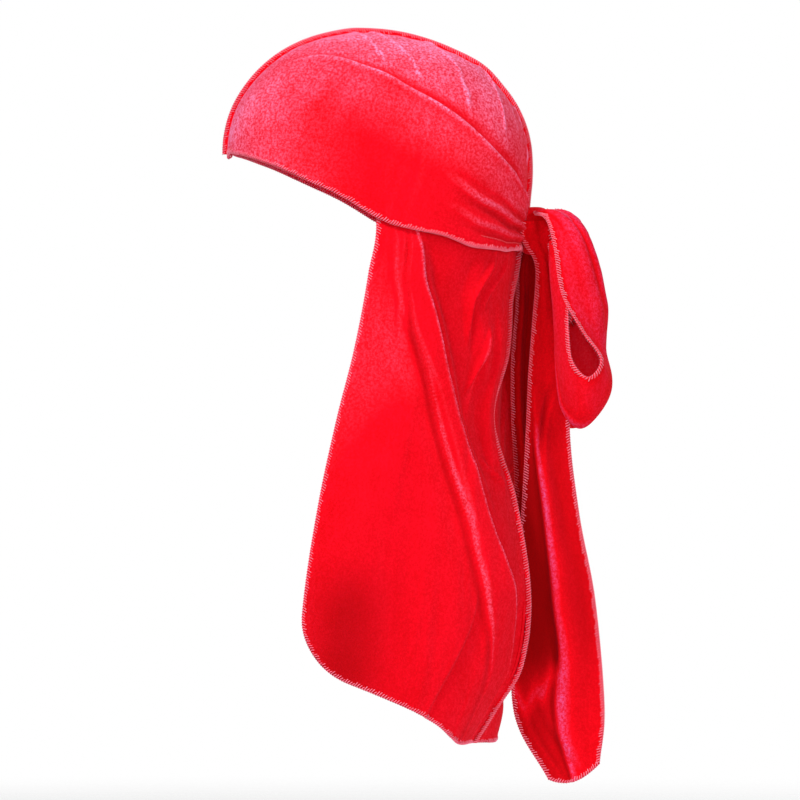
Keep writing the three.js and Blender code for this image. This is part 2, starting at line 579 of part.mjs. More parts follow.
// A strip of cloth through a table of edge pairs, arched between its edges and folded along.
function ribbon(name, near, far, bow, sag, folds, columns, rows, side) {
  const arch = (v) => 4 * v * (1 - v);
  const plain = (u, v) => near(u).lerp(far(u), v).add(new THREE.Vector3(0, 0, -sag(u) * arch(v)));
  const face = (u, v) => {
    const normal = normalOf(plain, u, 0.5).multiplyScalar(side);
    let rise = bow(u) * arch(v);
    for (const fold of folds) {
      const height = lerp(fold.rise_top, fold.rise_end, u) * TAIL_FOLD_RISE;
      rise += height * bump(v - fold.across, fold.width);
    }
    return plain(u, v).addScaledVector(normal, rise);
  };
  const inward = (u, v) => face(u, v).addScaledVector(normalOf(face, u, v), -side * CLOTH);
  const mesh = clothBody(name, face, inward, columns, rows, cloth());
  return side > 0 ? mesh : turnedOut(mesh);
}

// A place beside, behind and below the middle of the knot.
function fromKnot(out, back, down) {
  return new THREE.Vector3(out, KNOT_AT.y + back, CLOTH - KNOT_AT.depth - down);
}

function bowLoop(name) {
  const table = numbered(LOOP_STATIONS);
  const edge = (which) => (u) => {
    const value = (column) => read(table, "share", u, `${which}_${column}`);
    const [back, down] = [value("back") * LOOP_REACH, value("down") * LOOP_DROP];
    return fromKnot(value("out") * LOOP_WIDTH, back, down);
  };
  const bow = (u) => read(table, "share", u, "bow") * LOOP_BELLY;
  const sag = (u) => read(table, "share", u, "sag") * LOOP_BELLY;
  return ribbon(name, edge("near"), edge("far"), bow, sag, [], spread(26), spread(10), -1);
}

function tail(name, stations, side) {
  const table = numbered(stations);
  const edge = (which) => (u) => {
    const value = (column) => read(table, "share", u, `${which}_${column}`);
    const [back, down] = [value("back") * TAIL_REACH, value("down") * TAIL_DROP];
    return fromKnot(value("out") * TAIL_OUT, back, down);
  };
  const sag = (u) => TAIL_END_SAG * smooth((u - 0.85) / 0.15);
  return ribbon(name, edge("nape"), edge("outer"), () => 0, sag, TAIL_FOLDS, spread(21), spread(12), side);
}

// The knot: a rounded wrap with grooves that run round it.
function bowKnot() {
  const [turns, rings] = [20, 10];
  const corners = [];
  const faces = [];
  const centre = new THREE.Vector3(0, KNOT_AT.y, CLOTH - KNOT_AT.depth);
  const pole = (way) => centre.clone().add(new THREE.Vector3(0, 0, (way * KNOT_SIZE.z) / 2));
  corners.push(pole(1));
  for (let i = 1; i < rings; i += 1) {
    const angle = (Math.PI * i) / rings;
    for (let j = 0; j < turns; j += 1) {
      const turn = (2 * Math.PI * j) / turns;
      const radius = Math.sin(angle) ** 0.6;
      const groove = 1 - (KNOT_WRAP / KNOT_SIZE.x) * (1 + Math.cos(angle * 6 + Math.sin(turn)));
      corners.push(centre.clone().add(new THREE.Vector3(
        (Math.cos(turn) * radius * groove * KNOT_SIZE.x) / 2,
        (Math.sin(turn) * radius * groove * KNOT_SIZE.y) / 2,
        (Math.cos(angle) * KNOT_SIZE.z) / 2,
      )));
    }
  }
  corners.push(pole(-1));
  const at = (ring, turn) => 1 + (ring - 1) * turns + (turn % turns);
  for (let j = 0; j < turns; j += 1) {
    faces.push(0, at(1, j), at(1, j + 1));
    for (let i = 1; i < rings - 1; i += 1) {
      faces.push(at(i, j), at(i + 1, j), at(i + 1, j + 1));
      faces.push(at(i, j), at(i + 1, j + 1), at(i, j + 1));
    }
    faces.push(corners.length - 1, at(rings - 1, j + 1), at(rings - 1, j));
  }
  return meshOf("bow_knot", corners, faces, cloth());
}

// Where the seam of the flap runs: its place, the way it stands out and its thickness way.
function flapSeamFrame() {
  const [near, far] = [flapFace(1), flapFace(-1)];
  return (v) => {
    const at = near(1, v).lerp(far(1, v), 0.5);
    const aside = near(0.93, v).sub(far(0.93, v)).setZ(0).normalize();
    return { at, out: new THREE.Vector3(-aside.y, aside.x, 0), aside };
  };
}

function flapSeam() {
  const frame = flapSeamFrame();
  const [line, out, side] = ["at", "out", "aside"].map((part) => (v) => frame(v)[part]);
  const rows = FLAP_ROWS.filter((v) => v > FLAP_SEAM_START);
  return seamStrip("flap_seam", rows, line, out, side, SEAM_WIDTH, CLOTH, FLAP_SEAM_RISE);
}

const durag = new THREE.Group();
durag.name = "durag";
const crownLeft = crownPanel("crown_left");
const loopLeft = bowLoop("bow_loop_left");
durag.add(
  crownLeft,
  mirrored(crownLeft, "crown_right"),
  centreSeam(),
  flapPanel("flap_left", 1),
  flapPanel("flap_right", -1),
  flapSeam(),
  bowKnot(),
  loopLeft,
  mirrored(loopLeft, "bow_loop_right"),
  tail("tail_left", TAIL_LEFT_STATIONS, 1),
  tail("tail_right", TAIL_RIGHT_STATIONS, 1),
);

export default durag;
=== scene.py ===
"""Dresses a worn velvet durag: crown, neck flap, bow and tails, with their seams and overlock thread.

Lengths in the tables and the maths are millimetres, and every mesh is written in metres.
+Z is up, the brow faces -Y and the wearer's left side is +X.
"""
import logging
import math
from dataclasses import dataclass
from enum import Enum
from typing import Callable, Sequence

import bpy
import numpy as np
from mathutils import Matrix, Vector


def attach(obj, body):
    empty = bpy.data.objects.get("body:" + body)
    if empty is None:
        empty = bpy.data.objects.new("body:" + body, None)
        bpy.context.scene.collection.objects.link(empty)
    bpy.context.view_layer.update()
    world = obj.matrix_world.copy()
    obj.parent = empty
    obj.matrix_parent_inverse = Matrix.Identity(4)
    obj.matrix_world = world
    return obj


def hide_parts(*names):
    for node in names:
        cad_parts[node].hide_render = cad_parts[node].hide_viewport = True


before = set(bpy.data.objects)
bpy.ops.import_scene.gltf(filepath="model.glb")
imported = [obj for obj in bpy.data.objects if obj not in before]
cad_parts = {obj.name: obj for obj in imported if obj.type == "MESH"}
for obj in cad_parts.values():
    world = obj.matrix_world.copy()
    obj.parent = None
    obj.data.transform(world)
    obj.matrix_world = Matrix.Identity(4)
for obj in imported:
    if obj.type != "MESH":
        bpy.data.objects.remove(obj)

LOG = logging.getLogger("durag")
MM = 0.001
BODY = "root"

CLOTH = 1.5
VISIBLE_CLOTH = 1.1
CLEARANCE = 0.3
CROWN_DEPTH = 136.5
BROW_REACH = 80.4
NAPE_REACH = 104.2
HALF_WIDTH = 76.5
PLAN_ROUNDNESS = 2.2
SEAM_WIDTH = 2.4
SEAM_HALF_GAP = SEAM_WIDTH / 2 + CLEARANCE
CROWN_PANEL_GAP = SEAM_HALF_GAP - 0.6
TUCK_INSET = CLOTH + CLEARANCE + 1.9

Rule = Callable[[np.ndarray], np.ndarray]


class Side(Enum):
    """The wearer's side that a piece belongs to."""

    LEFT = 1
    RIGHT = -1


class ClothFace(Enum):
    """Which material slot a sheet's faces take."""

    PILE = 0
    REVERSE = 1


class SheetEdge(Enum):
    """An edge of a sheet's grid: the axis across it, its own line and one further in."""

    FIRST_COLUMN = (0, 0, 2)
    LAST_COLUMN = (0, -1, -3)
    FIRST_ROW = (1, 0, 2)
    LAST_ROW = (1, -1, -3)


class Table:
    """Rows of named columns, read as smooth curves along the first column."""

    def __init__(self, names: str, rows: Sequence[Sequence[float]]) -> None:
        """Stores the columns.

        Args:
            names: Column names parted by spaces; the first is the key.
            rows: One row of numbers for each place along the key.
        """
        self.columns = dict(zip(names.split(), np.array(rows, float).T))
        self.key = self.columns[names.split()[0]]

    def read(self, at: np.ndarray, name: str) -> np.ndarray:
        """Reads one column at places along the key.

        Args:
            at: Places along the key column.
            name: Column to read.

        Returns:
            The values there, on a smooth curve through the rows.
        """
        key, values = self.key, self.columns[name]
        row = np.clip(np.searchsorted(key, at, side="left") - 1, 0, len(key) - 2)
        before, after = np.maximum(row - 1, 0), np.minimum(row + 2, len(key) - 1)
        span = key[row + 1] - key[row]
        share = np.clip((at - key[row]) / span, 0, 1)
        low = (values[row + 1] - values[before]) / (key[row + 1] - key[before]) * span
        high = (values[after] - values[row]) / (key[after] - key[row]) * span
        square, cube = share**2, share**3
        return ((2 * cube - 3 * square + 1) * values[row] + (cube - 2 * square + share) * low
                + (3 * square - 2 * cube) * values[row + 1] + (cube - square) * high)


CROWN_LEVELS = Table("level brow side nape middle", [
    (0.0, 0.0, 0.0, 0.0, 0.0),
    (0.1, 0.146, 0.183, 0.202, 0.02),
    (0.2, 0.348, 0.373, 0.381, 0.04),
    (0.3, 0.536, 0.549, 0.557, 0.07),
    (0.4, 0.699, 0.693, 0.732, 0.09),
    (0.5, 0.837, 0.81, 0.847, 0.11),
    (0.6, 0.944, 0.902, 0.946, 0.12),
    (0.7, 1.0, 0.967, 1.006, 0.12),
    (0.8, 1.002, 1.0, 1.02, 0.12),
    (0.9, 1.0, 1.0, 1.002, 0.12),
    (1.0, 1.0, 0.98, 0.988, 0.12),
])

CROWN_STATIONS = Table("share seam ridge_back ridge_out hem_back hem_out", [
    (0.0, -0.754, -0.754, 0.0, -0.754, 0.0),
    (0.08, -0.6, -0.6, 0.15, -0.695, 0.275),
    (0.18, -0.42, -0.42, 0.2, -0.565, 0.53),
    (0.3, -0.2, -0.226, 0.26, -0.345, 0.755),
    (0.42, -0.017, 0.03, 0.45, -0.037, 0.912),
    (0.53, 0.06, 0.17, 0.52, 0.162, 0.935),
    (0.65, 0.204, 0.37, 0.537, 0.405, 0.878),
    (0.77, 0.382, 0.58, 0.475, 0.645, 0.755),
    (0.89, 0.57, 0.775, 0.31, 0.86, 0.51),
    (0.95, 0.73, 0.855, 0.16, 0.96, 0.27),
    (1.0, 0.885, 0.91, 0.03, 1.0, 0.03),
])

FLAP_LEVELS = Table(
    "depth edge_back edge_out side_back side_out turn_back turn_out far_back far_out seam_back seam_out", [
        (0.2624, 0.118, 0.83, 0.52, 0.85, 0.93, 0.47, 0.93, 0.47, 0.925, 0.02),
        (0.362, 0.057, 0.81, 0.47, 0.9, 0.93, 0.5, 0.9, 0.5, 0.9, 0.04),
        (0.4525, -0.018, 0.79, 0.42, 0.94, 0.94, 0.56, 0.93, 0.55, 0.875, 0.08),
        (0.543, -0.115, 0.77, 0.33, 0.96, 0.86, 0.64, 1.08, 0.5, 0.785, 0.16),
        (0.6561, -0.219, 0.74, 0.24, 0.98, 0.82, 0.74, 0.82, 0.5, 0.914, 0.25),
        (0.7919, -0.31, 0.71, 0.18, 1.0, 0.82, 0.8, 0.75, 0.45, 1.0, 0.29),
        (0.8937, -0.338, 0.69, 0.14, 1.0, 0.76, 0.82, 0.78, 0.42, 0.95, 0.29),
        (0.9502, -0.335, 0.68, 0.12, 0.99, 0.7, 0.81, 1.18, 0.34, 0.81, 0.28),
        (1, -0.33, 0.67, 0.1, 0.98, 0.62, 0.8, 1.26, 0.34, 0.68, 0.27),
    ])

FLAP_HEM = Table("share depth", [
    (0.0, 0.888), (0.2, 0.913), (0.4, 0.94), (0.6, 0.968), (0.8, 0.997), (1.0, 0.999),
])

LOOP_NAMES = "share near_out near_back near_down far_out far_back far_down bow sag"
TAIL_NAMES = "share nape_out nape_back nape_down outer_out outer_back outer_down"


def numbered(names: str, rows: Sequence[Sequence[float]]) -> Table:
    """Makes a table whose key is each row's share of the way.

    Args:
        names: Column names, the first of which is the share.
        rows: The rows without their share.

    Returns:
        The table.
    """
    return Table(names, [(i / (len(rows) - 1), *row) for i, row in enumerate(rows)])


LOOP_STATIONS = numbered(LOOP_NAMES, [
    (0.208, -0.1187, -0.0833, 0.135, 0.0944, -0.0952, 0, 0),
    (0.48, 0.0634, -0.0516, 0.14, 0.385, -0.0773, -0.28, 0.18),
    (0.68, 0.1835, 0.0873, 0.1, 0.6175, 0.123, -0.34, 0.16),
    (0.85, 0.292, 0.3115, 0.09, 0.54, 0.2818, -0.44, 0.28),
    (0.95, 0.5904, 0.5, 0.09, 0.5012, 0.3611, -0.34, 0.48),
    (1, 0.881, 0.6428, 0.09, 0.5012, 0.4405, -0.26, 0.62),
    (1, 0.695, 0.7301, 0.09, 0.4431, 0.4603, -0.06, 0.88),
    (0.96, 0.4625, 0.6508, 0.09, 0.385, 0.4306, -0.08, 0.76),
    (0.9, 0.4, 0.5, 0.12, 0.3269, 0.3413, -0.1, 0.5),
    (0.75, 0.4, 0.3016, 0.15, 0.23, 0.2421, -0.1, 0.28),
    (0.56, 0.33, 0.1548, 0.2, 0.1719, 0.1429, -0.08, 0.08),
    (0.4, 0.2, 0.0476, 0.3, 0.1331, 0.0576, -0.02, 0),
])

TAIL_LEFT_STATIONS = numbered(TAIL_NAMES, [
    (1, -0.32, -0.0169, 0.9, 0.14, -0.0196),
    (0.94, -0.29, 0.0197, 0.84, 0.18, 0.017),
    (0.7667, -0.0854, 0.0644, 0.4667, 0.22, 0.0589),
    (0.5667, -0.1313, 0.1618, -0.0333, 0.3812, 0.1564),
    (0.5333, -0.1925, 0.2579, -0.0667, 0.496, 0.2539),
    (0.5333, -0.2308, 0.3594, -0.0533, 0.4386, 0.3594),
    (0.4667, -0.2996, 0.5002, 0.1333, 0.5916, 0.5151),
    (0.4333, -0.4029, 0.6843, 0.3333, 0.8326, 0.6667),
    (0.4, -0.422, 0.8684, 0.4667, 0.9741, 0.8603),
    (0.4, 0.1135, 0.9902, 0.5, 0.8976, 0.9618),
])

TAIL_RIGHT_STATIONS = numbered(TAIL_NAMES, [
    (-0.8733, -0.2116, -0.0169, -0.8733, -0.0204, -0.0196),
    (-0.8533, -0.24, 0.0197, -0.8533, -0.0012, 0.017),
    (-0.7, -0.36, 0.0644, -0.7867, 0.037, 0.0617),
    (-0.5333, -0.3837, 0.1361, -0.8333, 0.037, 0.1361),
    (-0.5333, -0.4526, 0.2241, -0.8333, 0.037, 0.2241),
    (-0.5667, -0.4526, 0.3324, -0.9, 0.037, 0.3324),
    (-0.6, -0.4029, 0.4542, -1, 0.3047, 0.4542),
    (-0.6333, -0.3837, 0.6166, -1.0667, 0.496, 0.6166),
    (-0.6667, -0.3455, 0.7926, -1.1333, 0.5725, 0.8197),
])


def smooth(value: np.ndarray) -> np.ndarray:
    """Eases a value from 0 to 1.

    Args:
        value: Any numbers; those outside 0 to 1 are held at its ends.

    Returns:
        The eased numbers.
    """
    share = np.clip(value, 0, 1)
    return share * share * (3 - 2 * share)


def bump(distance: np.ndarray, width: float) -> np.ndarray:
    """Gives a rounded bump of height 1, about as wide as width each way."""
    return np.exp(-((distance / width) ** 2))


def mix(low: np.ndarray, high: np.ndarray, share: np.ndarray) -> np.ndarray:
    """Blends two values or stacks of points by a share for each.

    Args:
        low: What a share of 0 gives.
        high: What a share of 1 gives.
        share: The shares.

    Returns:
        The blended values or points.
    """
    share = np.asarray(share)
    if np.ndim(low) > np.ndim(share) or np.ndim(high) > np.ndim(share):
        share = share[..., None]
    return low + (high - low) * share


def unit(ways: np.ndarray) -> np.ndarray:
    """Scales vectors to length 1."""
    return ways / np.maximum(np.linalg.norm(ways, axis=-1, keepdims=True), 1e-9)


def waver(place: np.ndarray, seed: int, waves: int = 5) -> np.ndarray:
    """Gives gentle uneven waves along a line, the same on every run.

    Args:
        place: Places along the line, about 1 apart for one wave.
        seed: Picks the waves.
        waves: How many sizes of wave are summed.

    Returns:
        Numbers of about -1 to 1.
    """
    chance = np.random.default_rng(seed)
    total = np.zeros(np.shape(place))
    for i in range(waves):
        size = 0.6 + 0.5 * i
        total += np.sin(place * size * 2 * math.pi + chance.uniform(0, 2 * math.pi)) / (1 + i)
    return total / 1.6


def creases(u: np.ndarray, v: np.ndarray, seed: int, count: int, width: float,
            slant: float = 0.4) -> np.ndarray:
    """Sums small soft creases scattered over a sheet.

    Args:
        u: Shares across the sheet.
        v: Shares down the sheet.
        seed: Picks the places.
        count: How many creases.
        width: Half width of one crease, as a share.
        slant: How far a crease may lean.

    Returns:
        Heights of about -1 to 1.
    """
    chance = np.random.default_rng(seed)
    total = np.zeros(np.broadcast(u, v).shape)
    for _ in range(count):
        at, down = chance.uniform(0.02, 0.98), chance.uniform(0.0, 1.0)
        lean, length = chance.uniform(-slant, slant), chance.uniform(0.06, 0.28)
        rise = chance.uniform(0.4, 1.0) * chance.choice([-1, 1])
        across = width * chance.uniform(0.6, 1.5)
        total += rise * bump(u - at - lean * (v - down), across) * bump(v - down, length)
    return total


def standing(heights: np.ndarray, reach: int) -> np.ndarray:
    """Finds how far each place of a grid stands above the places around it.

    Args:
        heights: Grid of heights in millimetres.
        reach: How many grid steps each way count as around.

    Returns:
        A number for each place, -1 in a deep fold to 1 on a sharp crest.
    """
    weights = np.hanning(2 * reach + 3)[1:-1]
    weights = weights / weights.sum()
    blurred = heights
    for axis in (0, 1):
        padded = np.pad(blurred, [(reach, reach) if k == axis else (0, 0) for k in (0, 1)], mode="edge")
        blurred = np.apply_along_axis(lambda line: np.convolve(line, weights, mode="valid"), axis, padded)
    return np.clip(heights - blurred, -1, 1)


def crown_body(back: np.ndarray, out: np.ndarray) -> np.ndarray:
    """Finds points of the smooth crown.

    Args:
        back: Places on the crown map from the top towards the knot.
        out: Places from the middle towards the ear.

    Returns:
        Points in millimetres.
    """
    back, out = np.broadcast_arrays(np.asarray(back, float), np.asarray(out, float))
    level = np.maximum(np.hypot(back, out), 1e-6)
    reach = np.where(back < 0, CROWN_LEVELS.read(level, "brow") * BROW_REACH,
                     CROWN_LEVELS.read(level, "nape") * NAPE_REACH)
    middle = CROWN_LEVELS.read(level, "middle") * NAPE_REACH
    power = 2 / PLAN_ROUNDNESS
    lengthwise = np.abs(back / level) ** power
    sideways = np.sign(out) * np.abs(out / level) ** power
    y = np.where(back < 0, middle - (reach + middle) * lengthwise, middle + (reach - middle) * lengthwise)
    x = CROWN_LEVELS.read(level, "side") * HALF_WIDTH * sideways
    return np.stack([x, y, CLOTH - level**2 * CROWN_DEPTH], -1)


def crown_out(back: np.ndarray, out: np.ndarray) -> np.ndarray:
    """Finds the outward ways of the smooth crown.

    Args:
        back: Places on the crown map from the top towards the knot.
        out: Places from the middle towards the ear.

    Returns:
        A unit vector for each place.
    """
    step = 0.02
    along = crown_body(back + step, out) - crown_body(back - step, out)
    across = crown_body(back, out + step) - crown_body(back, out - step)
    return unit(-np.cross(along, across))


def crown_place(share: np.ndarray, across: np.ndarray) -> tuple[np.ndarray, np.ndarray]:
    """Finds places on the crown map.

    Args:
        share: Shares from brow to knot.
        across: Shares from the seam (0) over the ridge (0.5) to the hem (1).

    Returns:
        The back and out coordinates.
    """
    ridge_back = CROWN_STATIONS.read(share, "ridge_back")
    ridge_out = np.maximum(0, CROWN_STATIONS.read(share, "ridge_out"))
    upper, lower = np.clip(across * 2, 0, 1), np.clip(across * 2 - 1, 0, 1)
    hem_out = np.maximum(0, CROWN_STATIONS.read(share, "hem_out"))
    back = np.where(across <= 0.5, mix(CROWN_STATIONS.read(share, "seam"), ridge_back, upper),
                    mix(ridge_back, CROWN_STATIONS.read(share, "hem_back"), lower))
    out = np.where(across <= 0.5, ridge_out * upper, mix(ridge_out, hem_out, lower))
    return back, out


def normals_of(points: np.ndarray, side: int) -> np.ndarray:
    """Finds the outward ways over a grid of points.

    Args:
        points: Grid of points, columns first.
        side: 1 or -1, which way is outward.

    Returns:
        A grid of unit vectors.
    """
    along = np.gradient(points, axis=0)
    across = np.gradient(points, axis=1)
    along[0] = np.where(np.linalg.norm(along[0], axis=-1, keepdims=True) < 1e-6, along[1], along[0])
    across[0] = np.where(np.linalg.norm(across[0], axis=-1, keepdims=True) < 1e-6, across[1], across[0])
    return unit(np.cross(along, across)) * side


def add_mesh(name: str, corners: np.ndarray, faces: np.ndarray,
             slots: np.ndarray | None = None) -> bpy.types.Object:
    """Makes a smooth-shaded mesh object.

    Args:
        name: Name of the piece.
        corners: Points in millimetres.
        faces: Rows of four corner numbers; a row may repeat one for a triangle.
        slots: Material slot of each face.

    Returns:
        The object, linked to the scene.
    """
    mesh = bpy.data.meshes.new(name)
    rows = [tuple(dict.fromkeys(row)) for row in faces.tolist()]
    kept = [i for i, row in enumerate(rows) if len(row) > 2]
    mesh.from_pydata((corners * MM).tolist(), [], [rows[i] for i in kept])
    mesh.polygons.foreach_set("use_smooth", [True] * len(kept))
    if slots is not None:
        mesh.polygons.foreach_set("material_index", slots[kept].astype(np.int32))
    mesh.update()
    piece = bpy.data.objects.new(name, mesh)
    bpy.context.scene.collection.objects.link(piece)
    return piece


def grid_faces(columns: int, rows: int, start: int = 0, flip: bool = False) -> np.ndarray:
    """Numbers the quads of a grid whose corners run row by row within each column.

    Args:
        columns: How many columns it has.
        rows: How many rows it has.
        start: Number of its first corner.
        flip: Whether the quads are turned over.

    Returns:
        Rows of four corner numbers.
    """
    i, j = np.meshgrid(np.arange(columns - 1), np.arange(rows - 1), indexing="ij")
    a = start + i * rows + j
    quads = np.stack([a, a + rows, a + rows + 1, a + 1], -1).reshape(-1, 4)
    return quads[:, ::-1] if flip else quads


def ring_faces(rings: int, sides: int) -> np.ndarray:
    """Numbers the faces of a tube, its two ends closed as fans folded into quads.

    Args:
        rings: How many rings it has.
        sides: Even number of corners of a ring, 4 or more.

    Returns:
        Rows of four corner numbers.
    """
    i, j = np.meshgrid(np.arange(rings - 1), np.arange(sides), indexing="ij")
    a, b = i * sides + j, i * sides + (j + 1) % sides
    walls = np.stack([a, b, b + sides, a + sides], -1).reshape(-1, 4)
    caps = [[k, sides - 1 - k, sides - 2 - k, k + 1] for k in range(sides // 2 - 1)]
    start = np.array(caps)
    return np.concatenate([walls, start, start[:, ::-1] + (rings - 1) * sides])


def bar_faces(stations: int, corners: int) -> np.ndarray:
    """Numbers the faces of a bar: its walls and its two ends.

    Args:
        stations: How many sections it has along its run.
        corners: Even number of corners of a section, listed round it.

    Returns:
        Rows of four corner numbers.
    """
    i = np.arange(stations - 1) * corners
    closing = np.stack([i, i + corners, i + 2 * corners - 1, i + corners - 1], -1)
    ends = np.array([[k, k + 1, corners - 2 - k, corners - 1 - k] for k in range(corners // 2 - 1)])
    last = ends + (stations - 1) * corners
    return np.concatenate([grid_faces(stations, corners, flip=True), closing, ends[:, ::-1], last])


def facing_out(corners: np.ndarray, faces: np.ndarray) -> np.ndarray:
    """Turns the faces of a closed body so that they look outwards.

    Args:
        corners: Its points.
        faces: Rows of four corner numbers, all turned the same way.

    Returns:
        The rows, turned over where the body would be inside out.
    """
    a, b, c, d = (corners[faces[:, k]] for k in range(4))
    volume = np.sum(a * np.cross(b, c)) + np.sum(a * np.cross(c, d))
    return faces if volume > 0 else faces[:, ::-1]


def write_number(piece: bpy.types.Object, name: str, values: np.ndarray) -> None:
    """Stores one number for each corner of a piece, for its material to read."""
    layer = piece.data.attributes.new(name, "FLOAT", "POINT")
    layer.data.foreach_set("value", np.asarray(values, np.float32).ravel())


@dataclass
class Sheet:
    """A grid of cloth with a pile side, a reverse side and closed edges."""

    outer: np.ndarray
    side: int
    thickness: float = VISIBLE_CLOTH
    limit: Rule | None = None

    def inner(self) -> np.ndarray:
        """Returns the reverse side's grid of points."""
        moved = self.outer - normals_of(self.outer, self.side) * self.thickness
        return self.limit(moved) if self.limit else moved

    def edge(self, which: SheetEdge) -> tuple[np.ndarray, np.ndarray, np.ndarray]:
        """Finds one edge of the cloth for its overlock.

        Args:
            which: The edge.

        Returns:
            Points on the edge's middle, ways into the cloth and outward ways.
        """
        axis, own, further = which.value
        middle = (self.outer + self.inner()) / 2
        outward = unit(self.outer - self.inner())
        line = np.take(middle, own, axis)
        along = unit(np.gradient(line, axis=0))
        into = np.take(middle, further, axis) - line
        into = into - along * np.sum(into * along, -1, keepdims=True)
        return line, unit(into), np.take(outward, own, axis)

    def build(self, name: str, tone: np.ndarray) -> bpy.types.Object:
        """Makes the sheet's mesh.

        Args:
            name: Name of the piece.
            tone: Painted shade (-1) to painted highlight and sheen (1) at each point of the grid.

        Returns:
            The piece.
        """
        columns, rows = self.outer.shape[:2]
        inner = self.inner()
        count = columns * rows
        corners = np.concatenate([self.outer.reshape(-1, 3), inner.reshape(-1, 3)])
        flip = self.side < 0
        pile, reverse = grid_faces(columns, rows, 0, flip), grid_faces(columns, rows, count, not flip)
        walls = []
        for line in (np.arange(columns) * rows, np.arange(columns) * rows + rows - 1,
                     np.arange(rows), np.arange(rows) + (columns - 1) * rows):
            walls.append(np.stack([line[:-1], line[1:], line[1:] + count, line[:-1] + count], -1))
        walls[1], walls[2] = walls[1][:, ::-1], walls[2][:, ::-1]
        rim = np.concatenate(walls)
        rim = rim if flip else rim[:, ::-1]
        kinds = ((pile, ClothFace.PILE), (reverse, ClothFace.REVERSE), (rim, ClothFace.PILE))
        slots = np.concatenate([np.full(len(faces), kind.value) for faces, kind in kinds])
        piece = add_mesh(name, corners, np.concatenate([pile, reverse, rim]), slots)
        light = np.asarray(tone, float).ravel()
        # The painted light and shade number for the material: the pile side takes it whole, the reverse side
        # only its painted highlight.
        write_number(piece, "lay", np.concatenate([light, np.maximum(light, 0.0)]))
        return piece


@dataclass(frozen=True)
class Overlock:
    """Thread wrapped round a cut edge: a flat cover of thread and slanting loops over it."""

    pitch: float = 1.65
    reach: float = 2.7
    rise: float = 1.0
    thread: float = 0.32
    slant: float = 0.9
    per_turn: int = 10
    sides: int = 4
    bite: float = 0.4
    cover: float = 0.55
    cover_bite: float = 0.35
    cover_step: float = 1.6
    cover_sides: int = 8
    uneven: tuple[float, float] = (0.62, 1.25)

    def build(self, name: str, edge: np.ndarray, inward: np.ndarray, outward: np.ndarray,
              seed: int) -> bpy.types.Object:
        """Makes the thread along one edge.

        Args:
            name: Name of the piece.
            edge: Points along the edge.
            inward: Ways from the edge into the cloth.
            outward: Ways out of the pile side.
            seed: Picks the unevenness.

        Returns:
            The thread's mesh.
        """
        chance = np.random.default_rng(seed)
        run = np.concatenate([[0], np.cumsum(np.linalg.norm(np.diff(edge, axis=0), axis=1))])
        turns = max(2, round(run[-1] / self.pitch))
        knots = np.linspace(0, run[-1], turns + 1)
        uneven = chance.uniform(*self.uneven, turns + 1)

        def along(place: np.ndarray) -> tuple[np.ndarray, np.ndarray, np.ndarray]:
            """Reads the edge, its inward ways and its outward ways.

            Args:
                place: Places along the edge, in millimetres.

            Returns:
                The points and the two kinds of ways there.
            """
            held = np.clip(place, 0, run[-1])
            read = [np.stack([np.interp(held, run, part[:, k]) for k in range(3)], -1)
                    for part in (edge, inward, outward)]
            return read[0], unit(read[1]), unit(read[2])

        phase = np.linspace(0, turns * 2 * math.pi, turns * self.per_turn + 1)
        inset = 0.5 - 0.5 * np.cos(phase)
        place = phase / (2 * math.pi) * self.pitch * run[-1] / (turns * self.pitch) + self.slant * inset
        centre, into, up = along(place)
        size = np.interp(place, knots, uneven)
        path = (centre + into * (self.reach * size * inset - self.bite)[:, None]
                + up * (self.rise * size * np.sin(phase))[:, None])
        loops, loop_faces = self.tube(path, self.thread)
        spots = np.linspace(0, run[-1], max(2, round(run[-1] / self.cover_step)) + 1)
        centre, into, up = along(spots)
        around = np.linspace(0, 2 * math.pi, self.cover_sides, endpoint=False)
        width = self.reach * np.interp(spots, knots, uneven)[:, None] * self.cover / 2
        inwards = (1 + np.cos(around)[None]) * width - self.cover_bite
        upwards = np.sin(around)[None] * self.rise * self.cover
        ring = centre[:, None] + into[:, None] * inwards[..., None] + up[:, None] * upwards[..., None]
        cover = ring.reshape(-1, 3)
        loop_faces = facing_out(loops, loop_faces)
        cover_faces = facing_out(cover, ring_faces(len(spots), self.cover_sides)) + len(loops)
        slots = np.concatenate([np.zeros(len(loop_faces), int), np.ones(len(cover_faces), int)])
        faces = np.concatenate([loop_faces, cover_faces])
        return add_mesh(name, np.concatenate([loops, cover]), faces, slots)

    def tube(self, path: np.ndarray, radius: float) -> tuple[np.ndarray, np.ndarray]:
        """Works out a thin tube along a path.

        Args:
            path: Points along its middle.
            radius: Its radius.

        Returns:
            Its corners and its faces.
        """
        along = unit(np.gradient(path, axis=0))
        helper = np.where(np.abs(along[:, :1]) < 0.8, [[1.0, 0, 0]], [[0, 1.0, 0]])
        first = unit(np.cross(along, helper))
        second = np.cross(along, first)
        angle = np.linspace(0, 2 * math.pi, self.sides, endpoint=False)
        ring = (path[:, None] + radius * (np.cos(angle)[None, :, None] * first[:, None]
                                          + np.sin(angle)[None, :, None] * second[:, None]))
        return ring.reshape(-1, 3), ring_faces(len(path), self.sides)


def node_group(name: str, inputs: dict[str, float], outputs: Sequence[str]) -> bpy.types.NodeTree:
    """Starts a shader node group.

    Args:
        name: Name of the group.
        inputs: Names and first values of its number inputs.
        outputs: Names of its number outputs.

    Returns:
        The group, with its input and output nodes.
    """
    group = bpy.data.node_groups.new(name, "ShaderNodeTree")
    for label, value in inputs.items():
        socket = group.interface.new_socket(name=label, in_out="INPUT", socket_type="NodeSocketFloat")
        socket.default_value = value
    for label in outputs:
        group.interface.new_socket(name=label, in_out="OUTPUT", socket_type="NodeSocketFloat")
    group.nodes.new("NodeGroupInput").name = "in"
    group.nodes.new("NodeGroupOutput").name = "out"
    return group


